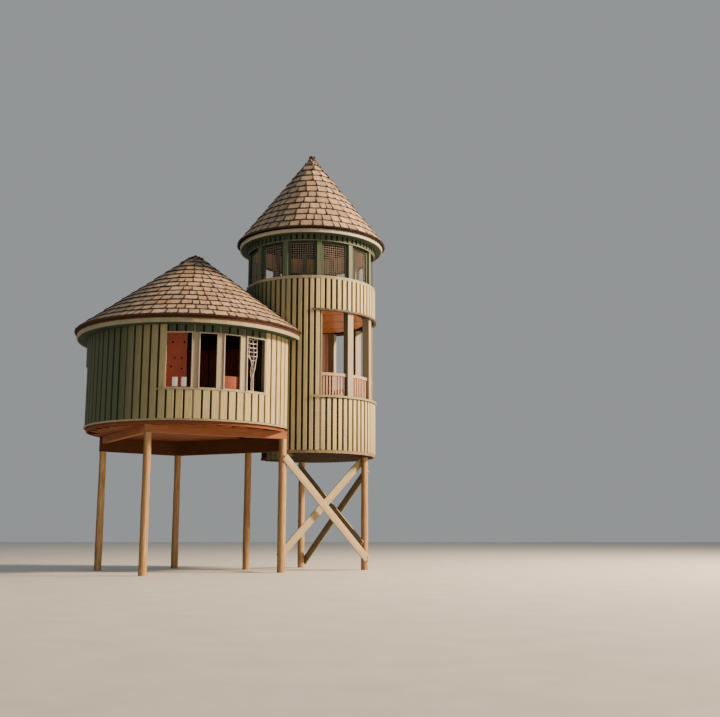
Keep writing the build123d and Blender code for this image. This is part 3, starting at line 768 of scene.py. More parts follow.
@dataclass
class Band:
    """Straight strips end to end round a wall, one to each facet."""

    name: str
    centre: Vector
    radius: float
    bottom: float
    height: float
    depth: float
    start: float
    end: float
    finish: WoodFinish
    slot: str = "trim"
    facet: float = 7.5
    corner: float = 10.2
    seed: int = 5
    arris: float = 0.004

    def build(self) -> bpy.types.Object:
        """Model one strip, copy it facet by facet and dress the band.

        Returns:
            The finished piece.
        """
        flat = self.radius * math.cos(math.radians(self.facet / 2))
        chord = 2 * (self.radius + self.depth) * math.sin(math.radians(self.facet / 2))
        lying = turned(90, "Y") @ moved(0, 0, -chord / 2)
        places = []
        for step in range(round(360.0 / self.facet)):
            angle = self.corner + self.facet * (step + 0.5)
            if within(angle, self.start, self.end):
                places.append(facing(self.centre, flat, angle, self.bottom + self.height / 2) @ lying)
        blank = board_blank(self.height, self.depth, chord, self.arris)
        return dress(copy_out(self.name, blank, places, self.seed), self.finish)


@dataclass
class ShakeRoof:
    """Cone roof laid with split shakes, course upon course, on the CAD roof panels."""

    name: str
    centre: Vector
    eave_radius: float
    eave: float
    apex: float
    course: float = 0.37
    length: float = 0.6
    butt: float = 0.042
    mean_width: float = 0.37
    overhang: float = 0.035
    seed: int = 11
    neighbour: Vector | None = None
    neighbour_radius: float = 2.405
    head: float = 0.004
    foot_band: float = 0.06
    joint: float = 0.022
    starter_lift: float = 0.004
    course_lift: float = 0.024
    setback: float = 0.012
    slip: float = 0.012
    play: float = 0.004
    lean: float = 0.036
    skew: float = 0.008
    reach_in: float = 0.1
    top_radius: float = 0.2
    fewest: int = 9
    first_turn: float = 12.0
    widths: tuple[float, float] = (0.6, 1.35)
    depths: tuple[float, float] = (0.85, 1.15)
    dents: tuple[float, ...] = (0.0, 0.006, 0.001, 0.007, 0.002, 0.005, 0.0)
    foot_line: tuple[float, ...] = (0.0, 0.012, 0.004, 0.0, 0.014, 0.006, 0.002)

    def shake_blank(self) -> bpy.types.Object:
        """Model one shake: a thin wedge with split lines down its face and a broken foot.

        Returns:
            Blank one metre wide along X, its length along Y and its thickness along Z.
        """
        middle = (0, self.length / 2, self.butt / 2)
        blank = start_blank(bpy.ops.mesh.primitive_cube_add, (1.0, self.length, self.butt), size=1.0,
                            location=middle)
        bpy.ops.object.mode_set(mode="EDIT")
        choose_edges(blank, 0)
        bpy.ops.mesh.subdivide(number_cuts=len(self.dents) - 2)
        bpy.ops.object.mode_set(mode="OBJECT")
        bpy.ops.object.mode_set(mode="EDIT")
        bpy.ops.mesh.select_all(action="SELECT")
        bpy.ops.mesh.bisect(plane_co=(0, self.foot_band, 0), plane_no=(0, 1, 0))
        bpy.ops.object.mode_set(mode="OBJECT")
        # Feet and side edges are marked for the darker edge colour: weathered end grain, and painted shade
        # in the joints and under the butts
        wear_and_shade = []
        last = len(self.dents) - 1
        for vertex in blank.data.vertices:
            place = vertex.co
            line = round((place.x + 0.5) * last)
            upper = place.z > self.butt / 2
            at_foot = place.y < self.foot_band / 2
            if place.y > self.length / 2:
                place.z = self.head if upper else 0.0
            elif upper:
                place.z -= self.dents[line]
            if at_foot:
                place.y += self.foot_line[line]
            wear_and_shade.append(float(at_foot or line in (0, last)))
        blank.data.attributes.new("wear_and_shade", "FLOAT", "POINT").data.foreach_set("value", wear_and_shade)
        return blank

    def limits(self, radius: float) -> tuple[float, float]:
        """Angles between which a course is free of the neighbouring room.

        Args:
            radius: Distance of the course from the roof's axis.

        Returns:
            Start and end angle; a whole turn where nothing is in the way.
        """
        if self.neighbour is None:
            return 0.0, 360.0
        offset = self.neighbour - self.centre
        far = offset.length
        if radius <= far - self.neighbour_radius:
            return 0.0, 360.0
        cosine = (radius * radius + far * far - self.neighbour_radius ** 2) / (2 * radius * far)
        half = math.degrees(math.acos(max(-1.0, min(1.0, cosine))))
        bearing = math.degrees(math.atan2(offset.x, -offset.y))
        return bearing + half, bearing - half + 360.0

    def places(self) -> list[Matrix]:
        """Work out the place of every shake, with the widths and gaps of hand-split wood.

        Returns:
            One matrix to each shake.
        """
        dice = random.Random(self.seed)
        slope = math.atan2(self.apex - self.eave, self.eave_radius)
        run = math.hypot(self.apex - self.eave, self.eave_radius)
        found = []
        # A starter course lies under the first one; local Y runs up the slope, Z stands off the roof
        rows = [(-self.overhang, self.starter_lift), (-self.overhang + self.setback, self.course_lift)]
        rows += [(self.course * step - self.overhang, self.course_lift)
                 for step in range(1, int(run / self.course))]
        tilt = Matrix.Rotation(slope, 4, "X")
        for along, lift in rows:
            radius = self.eave_radius - along * math.cos(slope)
            if radius < self.top_radius:
                break
            start, end = self.limits(radius - self.reach_in * math.cos(slope))
            number = max(self.fewest, round(math.radians(end - start) * radius / self.mean_width))
            widths = [dice.uniform(*self.widths) for _ in range(number)]
            scale = (end - start) / sum(widths)
            angle = start + (dice.uniform(0, self.first_turn) if end - start >= 360.0 else 0.0)
            for width in widths:
                turn = width * scale
                middle = angle + turn / 2
                angle += turn
                broad = 2 * radius * math.tan(math.radians(turn / 2)) - self.joint
                slip = dice.uniform(-self.slip, self.slip)
                place = facing(self.centre, radius, middle, self.eave + along * math.sin(slope))
                shift = moved(0, slip, lift + dice.uniform(0.0, self.play))
                lean = Matrix.Rotation(dice.uniform(-self.play, self.play) - self.lean, 4, "X")
                skew = Matrix.Rotation(dice.uniform(-self.skew, self.skew), 4, "Z")
                stretch = sized(broad, 1.0, dice.uniform(*self.depths))
                found.append(place @ tilt @ shift @ lean @ skew @ stretch)
        return found

    def build(self) -> bpy.types.Object:
        """Model one shake, copy it over the roof and dress it."""
        roof = copy_out(self.name, self.shake_blank(), self.places(), self.seed, run=1)
        return dress(roof, SHAKE, smooth=20.0)


@dataclass
class Boarding:
    """Parallel boards that fill a circle, as a floor deck or a ceiling."""

    name: str
    centre: Vector
    radius: float
    underside: float
    finish: WoodFinish
    pitch: float = 0.14
    gap: float = 0.006
    thickness: float = 0.022
    turn: float = 0.0
    seed: int = 21
    cut_out: Vector | None = None
    cut_radius: float = 2.375
    arris: float = 0.003
    shortest: float = 0.1

    def build(self) -> bpy.types.Object:
        """Model one board, copy it to the length of each chord and dress the surface.

        Returns:
            The finished piece.
        """
        places = []
        count = int(self.radius / self.pitch)
        flat = moved(self.centre.x, self.centre.y, self.underside) @ turned(self.turn, "Z")
        lying = turned(-90, "X")
        for step in range(-count, count + 1):
            offset = step * self.pitch
            half = math.sqrt(max(0.0, self.radius ** 2 - (abs(offset) + self.pitch / 2) ** 2))
            for low, high in self.pieces(offset, -half, half):
                if high - low > self.shortest:
                    places.append(flat @ moved(offset, low, 0.0) @ lying @ sized(1.0, 1.0, high - low))
        blank = board_blank(self.pitch - self.gap, self.thickness, 1.0, self.arris)
        return dress(copy_out(self.name, blank, places, self.seed), self.finish)

    def pieces(self, offset: float, low: float, high: float) -> list[tuple[float, float]]:
        """Parts of one board's line that are clear of the neighbouring room.

        Args:
            offset: Board's distance from the room's centre line.
            low: Start of the line.
            high: End of the line.

        Returns:
            Start and end of each part.
        """
        if self.cut_out is None:
            return [(low, high)]
        other = turned(-self.turn, "Z") @ (self.cut_out - self.centre)
        near = min(abs(offset - self.pitch / 2 - other.x), abs(offset + self.pitch / 2 - other.x))
        if near >= self.cut_radius:
            return [(low, high)]
        half = math.sqrt(self.cut_radius ** 2 - near ** 2)
        parts = [(low, min(high, other.y - half)), (max(low, other.y + half), high)]
        return [part for part in parts if part[1] > part[0]]


@dataclass
class WindowFrames:
    """Flat frames of four bars between the posts of a round wall."""

    name: str
    centre: Vector
    plane: float
    openings: list[tuple[float, float]]
    post_width: float
    bottom: float
    top: float
    bar: float
    depth: float = 0.05
    finish: WoodFinish = TRIM_BOARD
    seed: int = 31
    arris: float = 0.004

    def half_width(self, start: float, end: float) -> float:
        """Half of the flat width between two posts at this frame's plane."""
        half = math.radians((end - start) / 2)
        return (self.plane * math.sin(half) - self.post_width / 2) / math.cos(half)

    def build(self) -> bpy.types.Object:
        """Model one bar, copy it round each opening and dress the frames.

        Returns:
            The finished piece.
        """
        places = []
        height = self.top - self.bottom
        lying = turned(90, "Y")
        for start, end in self.openings:
            half = self.half_width(start, end)
            base = facing(self.centre, self.plane, (start + end) / 2, self.bottom)
            for side in (-1, 1):
                upright = moved(side * (half - self.bar / 2 - 0.002), 0, 0)
                places.append(base @ upright @ sized(1, 1, height))
            for level in (self.bar / 2 + 0.001, height - self.bar / 2 - 0.001):
                across = moved(-half + self.bar, 0, level) @ lying
                places.append(base @ across @ sized(1, 1, 2 * half - 2 * self.bar))
        blank = board_blank(self.bar, self.depth, 1.0, self.arris)
        return dress(copy_out(self.name, blank, places, self.seed), self.finish)


@dataclass
class WireScreens:
    """Welded mesh in the frames of the loft."""

    name: str
    frames: WindowFrames
    pitch: float = 0.085
    wire: float = 0.0065
    behind: float = 0.02
    seed: int = 41

    def build(self) -> bpy.types.Object:
        """Model one screen as a grid drawn out to wires, copy it to each window and dress it.

        Returns:
            The finished piece.
        """
        frames = self.frames
        width = 2 * (frames.half_width(*frames.openings[0]) - frames.bar)
        height = frames.top - frames.bottom - 2 * frames.bar
        blank = start_blank(
            bpy.ops.mesh.primitive_grid_add, (width, height, 1.0), x_subdivisions=round(width / self.pitch),
            y_subdivisions=round(height / self.pitch), size=1.0, location=(0, -self.behind, 0),
            rotation=(math.radians(90), 0, 0),
        )
        draw_wires(blank, self.wire)
        middle = (frames.bottom + frames.top) / 2
        places = [facing(frames.centre, frames.plane, (first + last) / 2, middle)
                  for first, last in frames.openings]
        return dress(copy_out(self.name, blank, places, self.seed), MESH_WIRE, smooth=10.0)


@dataclass
class Logs:
    """Peeled log poles with a slight taper and an uneven surface."""

    name: str
    replaces: str
    stands: list[tuple[Vector, float, float]]
    seed: int
    sides: int = 28
    rings: int = 24
    swells_apart: float = 0.55
    foot_girth: float = 1.03
    taper: float = 0.07
    swell: float = 0.022

    def build(self) -> bpy.types.Object:
        """Model each pole from a cylinder and dress them.

        Returns:
            The finished piece.
        """
        clouds = bpy.data.textures.new(self.name + "_swell", "CLOUDS")
        clouds.noise_scale = self.swells_apart
        poles = []
        for foot, height, radius in self.stands:
            pole = start_blank(bpy.ops.mesh.primitive_cylinder_add, vertices=self.sides,
                               radius=radius, depth=height, location=(foot.x, foot.y, height / 2))
            bpy.ops.object.mode_set(mode="EDIT")
            choose_edges(pole, 2)
            bpy.ops.mesh.subdivide(number_cuts=self.rings)
            bpy.ops.object.mode_set(mode="OBJECT")
            for vertex in pole.data.vertices:
                girth = self.foot_girth - self.taper * vertex.co.z / height
                vertex.co.x = foot.x + (vertex.co.x - foot.x) * girth
                vertex.co.y = foot.y + (vertex.co.y - foot.y) * girth
            swell = pole.modifiers.new("swell", "DISPLACE")
            swell.texture = clouds
            swell.texture_coords = "LOCAL"
            swell.strength = self.swell
            swell.mid_level = 0.5
            bpy.ops.object.modifier_apply(modifier=swell.name)
            for vertex in pole.data.vertices:
                vertex.co.z = min(max(vertex.co.z, 0.0), height)
            poles.append(pole)
        pick(*poles)
        bpy.ops.object.join()
        piece = copy_out(self.name, bpy.context.active_object, [Matrix.Identity(4)], self.seed)
        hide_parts(self.replaces)
        return dress(piece, POLE, smooth=40.0)


@dataclass
class Timber:
    """Straight timber of the frame below, given by its ends."""

    start: Vector
    end: Vector
    thickness: float

    def place(self) -> Matrix:
        """Work out the place of a blank one metre long.

        Returns:
            Matrix with Z along the timber and X up its wide face.
        """
        along = (self.end - self.start).normalized()
        flat = Vector((along.y, -along.x, 0.0)).normalized()
        axes = Matrix((flat.cross(along), flat, along)).transposed().to_4x4()
        centred = moved(0, self.thickness / 2, 0)
        length = (self.end - self.start).length
        return Matrix.Translation(self.start) @ axes @ centred @ sized(1, 1, length)


@dataclass
class Bolts:
    """Hexagon bolt heads on round washers; each part has its sides, radius, depth and middle."""

    name: str
    places: list[Matrix]
    seed: int = 61
    head: tuple[int, float, float, float] = (6, 0.022, 0.018, 0.013)
    washer: tuple[int, float, float, float] = (16, 0.038, 0.006, 0.003)

    def build(self) -> bpy.types.Object:
        """Model one bolt, copy it to each place and dress them.

        Returns:
            The finished piece.
        """
        parts = []
        for sides, radius, depth, middle in (self.head, self.washer):
            parts.append(start_blank(bpy.ops.mesh.primitive_cylinder_add, vertices=sides, radius=radius,
                                     depth=depth, location=(0, -middle, 0),
                                     rotation=(math.radians(90), 0, 0)))
        pick(*parts)
        bpy.ops.object.join()
        piece = copy_out(self.name, bpy.context.active_object, self.places, self.seed)
        return dress(piece, STEEL)


@dataclass
class Tower:
    """The round lookout tower: siding, trims, rail, screens, roof and linings."""

    centre: Vector
    radius: float = 2.37
    wall: float = 0.15
    bottom: float = 4.0
    balcony_floor: float = 5.774
    balcony_sill: float = 5.96
    balcony_head: float = 9.03
    loft_floor: float = 9.25
    loft_sill: float = 10.235
    loft_head: float = 11.555
    soffit: float = 11.77
    eave: float = 11.95
    eave_radius: float = 2.74
    apex: float = 15.55
    post_angle: float = 10.2
    open_start: float = 9.2
    open_end: float = 166.1
    door: tuple[float, float] = (-75.0, -54.6)
    door_head: float = 7.9
    on_hut: tuple[float, float] = (-126.7, -16.0)
    hut_floor: float = 4.88
    post_width: float = 0.17
    frame_plane: float = 2.19
    frame_bar: float = 0.085
    seat: float = 0.004
    slab: float = 0.16
    boards: int = 72
    first_board: float = 4.1
    first_head_board: float = 3.0
    corner_joint: tuple[float, float] = (11.0, 11.4)
    lining_boards: int = 60
    first_lining: float = 2.0
    lining: tuple[float, float] = (0.218, 0.014)
    lining_head: float = 12.15
    ceiling_depth: float = 0.022

    def siding(self) -> None:
        """Lay the outer boards of every storey."""
        foot, top = self.bottom + 0.1, self.loft_sill - 0.07
        outer = self.radius - self.seat
        in_door = (self.door[0] + SLIVER, self.door[1] - SLIVER)
        walls = [
            (self.open_start, self.open_end, foot, self.balcony_sill - 0.045),
            (self.open_end + SLIVER, self.on_hut[0], foot, top),
            (self.on_hut[0] + SLIVER, self.door[0], self.hut_floor, top),
            (*in_door, self.hut_floor, self.balcony_sill),
            (*in_door, self.door_head, top),
            (self.door[1], self.on_hut[1], self.hut_floor, top),
            (self.on_hut[1] + SLIVER, self.open_start - SLIVER, foot, top),
        ]
        upper = [(self.open_start, self.open_end, self.balcony_head + 0.035, top)]
        head = [(*ALL_ROUND, self.loft_head + 0.03, self.soffit - 0.003)]
        joint = [(*self.corner_joint, self.balcony_sill, self.balcony_head)]
        for name, first, spans, finish, seed in (
            ("tower_siding", self.first_board, walls, SIDING, 2),
            ("tower_upper_siding", self.first_head_board, upper, SIDING, 3),
            ("tower_head_siding", self.first_head_board, head, EAVE_SHADE_SIDING, 4),
        ):
            Siding(name, self.centre, outer, self.boards, first, spans, finish, seed=seed).build()
        # A thin dark strip in the joint beside the balcony's front post: a painted shadow line
        Siding("corner_painted_shadow_strip", self.centre, self.radius + 0.001, 1, sum(self.corner_joint) / 2, joint,
               CORNER_SHADOW_LINE, width=0.04, depth=0.004, seed=8).build()

    def linings(self) -> None:
        """Lay the inner wall boards, the ceilings and the decks."""
        inner = self.radius - self.wall + self.seat
        ceiling = self.loft_floor - self.slab - self.ceiling_depth
        lining_top = ceiling - 0.003
        width, depth = self.lining
        balcony = [
            (160.0, self.door[0], self.balcony_floor, lining_top),
            (self.door[1], self.post_angle, self.balcony_floor, lining_top),
            (self.door[0] + SLIVER, self.door[1] - SLIVER, self.door_head, lining_top),
        ]
        loft = [
            (*ALL_ROUND, self.loft_floor + 0.02, self.loft_sill),
            (*ALL_ROUND, self.loft_head, self.lining_head),
        ]
        for name, spans, finish, seed in (
            ("tower_lining", balcony, LINING, 6), ("loft_lining", loft, LOFT_LINING, 7),
        ):
            Siding(name, self.centre, inner, self.lining_boards, self.first_lining, spans, finish,
                   "boards", width, depth, seed, inside=True).build()
        for name, level, finish, gap in (
            ("balcony_ceiling", ceiling, CEILING, 0.003),
            ("balcony_deck", self.balcony_floor, DECKING, 0.012),
            ("loft_deck", self.loft_floor, BOARDING, 0.012),
        ):
            Boarding(name, self.centre, inner - 0.12, level, finish, gap=gap, turn=20.0,
                     seed=len(name)).build()
        Boarding("ceiling_cover_strips", self.centre, inner, ceiling - 0.007, COVER_STRIP, pitch=1.2,
                 gap=1.15, thickness=0.009, turn=84.0, seed=22).build()

    def windows(self) -> None:
        """Set the frames and wire screens of the loft."""
        openings = [(self.post_angle + 30 * bay, self.post_angle + 30 * bay + 30) for bay in range(12)]
        frames = WindowFrames("loft_window_frames", self.centre, self.frame_plane, openings,
                              self.post_width, self.loft_sill, self.loft_head, self.frame_bar,
                              finish=DEEP_GREEN)
        frames.build()
        WireScreens("loft_wire_screens", frames).build()

    def roof(self) -> None:
        """Lay the roof's shakes and the dark strip under its eave, a painted eave shadow."""
        ShakeRoof("tower_shakes", self.centre, self.eave_radius, self.eave, self.apex).build()
        Band("tower_eave_painted_shadow", self.centre, self.eave_radius - 0.038, self.eave - 0.065, 0.075, 0.022,
             *ALL_ROUND, SHADE_DARK_BEAM).build()

    def paint(self) -> None:
        """Finish the CAD nodes that stay in view."""
        repaint(GROOVE, "tower_lower_wall", "tower_side_wall", "tower_upper_wall", "tower_head_wall",
                "doorway_wall", "tower_step_wall")
        repaint(POST, "tower_posts")
        repaint(SHADED, "loft_posts", "loft_head_trim")
        repaint(SOFFIT, "tower_soffit")
        repaint(TRIM, "loft_sill_trim", "balcony_sill_trim")
        repaint(FASCIA, "tower_fascia")
        repaint(EDGE, "tower_bottom_trim")
        repaint(HEAD_EDGE, "balcony_head_trim")
        repaint(SHEATHING, "tower_roof_panels_a", "tower_roof_panels_b", "tower_roof_cap")
        repaint(SHADE_DARK_BEAM, "tower_floor", "balcony_floor", "loft_floor")
        repaint(RAIL, "balcony_rail")

    def build(self) -> None:
        """Build and dress the whole tower."""
        self.paint()
        self.siding()
        self.linings()
        self.windows()
        self.roof()


@dataclass
class Hut:
    """The round hut: siding, window fittings, roof and linings."""

    centre: Vector
    tower: Tower
    radius: float = 3.6
    wall: float = 0.15
    floor: float = 4.88
    sill: float = 5.845
    head: float = 7.69
    door_head: float = 7.0
    beam_top: float = 4.71
    soffit: float = 7.92
    eave: float = 8.15
    eave_radius: float = 4.05
    apex: float = 11.25
    post_width: float = 0.187
    boards: int = 80
    front_posts: tuple[float, ...] = (-5.2, 11.7, 24.6, 37.5, 53.3)
    back_posts: tuple[float, ...] = (-142.0, -129.0, -116.0, -103.0)
    door: tuple[float, float] = (-82.5, -64.0)
    meets: tuple[float, float] = (75.9, 141.5)
    fittings: tuple[Opening, ...] = (Opening.HOLED_BOARD, Opening.BARE, Opening.LOW_BOARD, Opening.NET)
    first_board: float = 31.15
    board_width: float = 0.218
    first_lining: float = 33.4
    lining: tuple[float, float] = (0.262, 0.014)
    lining_head: float = 8.4
    frame_plane: float = 3.56
    frame_bar: tuple[float, float] = (0.035, 0.06)
    net_size: tuple[float, float] = (0.5, 1.42)
    net_rope: float = 0.024
    net_plane: float = 3.49
    low_board_size: tuple[float, float] = (0.03, 0.46)
    low_board_plane: float = 3.52
    tile_size: tuple[float, float, float] = (0.17, 0.012, 0.30)
    tiles_across: tuple[float, float] = (-0.02, 0.27)

    def spans(self, bottom: float, top: float, edge: float) -> list[Span]:
        """Closed stretches of the wall, with the strips over and under its openings.

        Args:
            bottom: Foot of the boards.
            top: Head of the boards.
            edge: Angle kept clear at the sides of the window rows.

        Returns:
            Start, end, bottom and top of each stretch.
        """
        front = (self.front_posts[0], self.front_posts[-1])
        back = (self.back_posts[0], self.back_posts[-1])
        rows = [
            (front[1] + edge, self.meets[0], bottom, top),
            (self.door[1], front[0] - edge, bottom, top),
            (back[1] + edge, self.door[0], bottom, top),
            (self.meets[1], back[0] - edge, bottom, top),
            (self.door[0] + SLIVER, self.door[1] - SLIVER, self.door_head, top),
        ]
        for start, end in (front, back):
            row = (start - edge + SLIVER, end + edge - SLIVER)
            rows += [(*row, bottom, self.sill - 0.046), (*row, self.head, top)]
        return rows

    def siding(self) -> None:
        """Lay the outer boards, those over the windows darkened as painted eave shade."""
        outer = self.radius - 0.006
        rows = self.spans(self.floor, self.soffit - 0.004, -0.4)
        for name, spans, finish, seed in (
            ("hut_siding", [row for row in rows if row[2] != self.head], HUT_SIDING, 12),
            ("hut_head_siding", [row for row in rows if row[2] == self.head], EAVE_SHADE_SIDING, 16),
        ):
            Siding(name, self.centre, outer, self.boards, self.first_board, spans, finish,
                   width=self.board_width, seed=seed).build()

    def linings(self) -> None:
        """Lay the inner wall boards, the deck and what closes the underside of both rooms."""
        inner = self.spans(self.floor + 0.022, self.lining_head, 2.4)
        width, depth = self.lining
        Siding("hut_lining", self.centre, self.radius - self.wall + 0.004, self.boards,
               self.first_lining, inner, HUT_LINING, "boards", width, depth, 13, inside=True).build()
        Boarding("hut_deck", self.centre, self.radius - self.wall - 0.02, self.floor, BOARDING,
                 turn=90.0, seed=14, cut_out=self.tower.centre, cut_radius=2.42).build()
        step = [(self.meets[0] + 4.0, self.meets[1] - 4.0, self.tower.bottom + 0.01, self.floor - 0.062)]
        Siding("step_wall_siding", self.centre, self.radius - 0.002, self.boards, self.first_board,
               step, width=0.222, depth=0.03, seed=15, inside=True).build()
        Boarding("hut_underside", self.centre, self.radius - 0.12, self.beam_top - 0.012, SOFFIT_BOARD,
                 pitch=0.4, thickness=0.012, turn=-8.0, seed=18, cut_out=self.tower.centre,
                 cut_radius=2.4).build()
        self.band("hut_rim", self.radius - 0.075, self.beam_top - 0.01, 0.115, 0.03, SOFFIT_BOARD,
                  "beams", seed=19)
        Boarding("tower_underside", self.tower.centre, self.tower.radius - 0.02,
                 self.tower.bottom - 0.02, UNDERSIDE, thickness=0.02, seed=9, cut_out=self.centre,
                 cut_radius=self.radius + 0.01).build()

    def band(self, name: str, radius: float, bottom: float, height: float, depth: float,
             finish: WoodFinish, slot: str = "trim", seed: int = 5) -> None:
        """Run a band round the hut as far as the tower on both sides.

        Args:
            name: Piece's name.
            radius: Distance of its back from the hut's axis.
            bottom: Height of its foot.
            height: Its height.
            depth: How far it stands out.
            finish: Finish that it takes.
            slot: Name of a material slot; not used.
            seed: Start of its random tones.
        """
        Band(name, self.centre, radius, bottom, height, depth, self.meets[1] - 2, self.meets[0] + 2,
             finish, slot, seed=seed).build()

    def windows(self) -> None:
        """Set the frames of both window rows."""
        for name, posts in (("front", self.front_posts), ("back", self.back_posts)):
            openings = list(zip(posts[:-1], posts[1:]))
            WindowFrames(f"hut_{name}_window_frames", self.centre, self.frame_plane, openings,
                         self.post_width, self.sill, self.head, *self.frame_bar).build()

    def net(self, start: float, end: float) -> None:
        """Hang the rope net in a window.

        Args:
            start: Angle of the window's left post.
            end: Angle of its right post.
        """
        width, height = self.net_size
        net = start_blank(bpy.ops.mesh.primitive_grid_add, (width, height, 1.0), x_subdivisions=3,
                          y_subdivisions=10, size=1.0, rotation=(math.radians(90), 0, 0))
        for vertex in net.data.vertices:
            # The upper part hangs open beside the left post; from a third down it is drawn together
            down = min(1.0, max(0.0, 0.5 - vertex.co.z / height))
            gather = min(1.0, max(0.0, (down - 0.36) / 0.2))
            gather = gather * gather * (3 - 2 * gather)
            across = vertex.co.x
            loose = -0.135 + 0.02 * math.sin(5 * down) + across
            vertex.co.x = loose * (1 - gather) + (-0.05 + across * (0.4 - 0.2 * down)) * gather
            vertex.co.y = 0.025 * math.sin(across * 23 + down * 9) * (1 + gather)
            vertex.co.z -= 0.025 * math.cos(across * 9) * (1 - down)
        draw_wires(net, self.net_rope)
        place = facing(self.centre, self.net_plane, (start + end) / 2, self.head - 0.05 - height / 2)
        dress(copy_out("rope_net", net, [place], 71), ROPE, smooth=60.0)

    def low_board(self, start: float, end: float) -> None:
        """Stand the low orange board in a window.

        Args:
            start: Angle of the window's left post.
            end: Angle of its right post.
        """
        depth, height = self.low_board_size
        inner = self.low_board_plane - 0.02
        half = inner * math.sin(math.radians((end - start) / 2)) - self.post_width / 2 - 0.01
        blank = board_blank(2 * half, depth, height, 0.006, 2)
        place = facing(self.centre, self.low_board_plane, (start + end) / 2, self.sill + 0.002)
        dress(copy_out("low_window_board", blank, [place], 72), LOW_BOARD)

    def tiles(self) -> None:
        """Fix the two plain tiles at the foot of the holed board."""
        low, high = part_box("hole_panel")
        middle = Vector(((low.x + high.x) / 2, (low.y + high.y) / 2, 0.0)) - self.centre
        angle = math.degrees(math.atan2(middle.x, -middle.y))
        base = facing(self.centre, middle.length + 0.021, angle, self.sill + 0.06)
        places = [base @ moved(across, 0, 0) for across in self.tiles_across]
        blank = board_blank(*self.tile_size, 0.004, 2)
        dress(copy_out("foot_tiles", blank, places, 73), TILE)

    def roof(self) -> None:
        """Lay the roof's shakes, and the dark strip under its eave and the dark edge board, both painted
        eave shadow.
        """
        ShakeRoof("hut_shakes", self.centre, self.eave_radius, self.eave, self.apex, seed=17,
                  neighbour=self.tower.centre).build()
        self.band("hut_eave_painted_shadow", self.eave_radius - 0.033, self.eave - 0.095, 0.11, 0.024, SHADE_DARK_BEAM)
        self.band("hut_roof_edge_painted_shadow", self.eave_radius + 0.003, self.eave - 0.012, 0.06, 0.012, SHADE_DARK_BEAM)

    def paint(self) -> None:
        """Finish the CAD nodes that stay in view."""
        repaint(GROOVE, "hut_side_wall", "hut_parapet_wall", "hut_head_wall", "hut_door_head")
        repaint(POST, "hut_posts")
        repaint(TRIM, "hut_floor_trim", "hut_sills", "hut_fascia")
        repaint(HUT_SHEATHING, "hut_roof_panels_a", "hut_roof_panels_b", "hut_roof_cap")
        repaint(SHADE_DARK_BEAM, "hut_floor", "hut_joists")
        repaint(SOFFIT, "hut_soffit")
        repaint(PLAY_BOARD, "hole_panel")

    def build(self) -> None:
        """Build and dress the whole hut."""
        self.paint()
        self.siding()
        self.linings()
        self.windows()
        for fitting, start, end in zip(self.fittings, self.front_posts[:-1], self.front_posts[1:]):
            if fitting is Opening.NET:
                self.net(start, end)
            elif fitting is Opening.LOW_BOARD:
                self.low_board(start, end)
            elif fitting is Opening.HOLED_BOARD:
                self.tiles()
        self.roof()


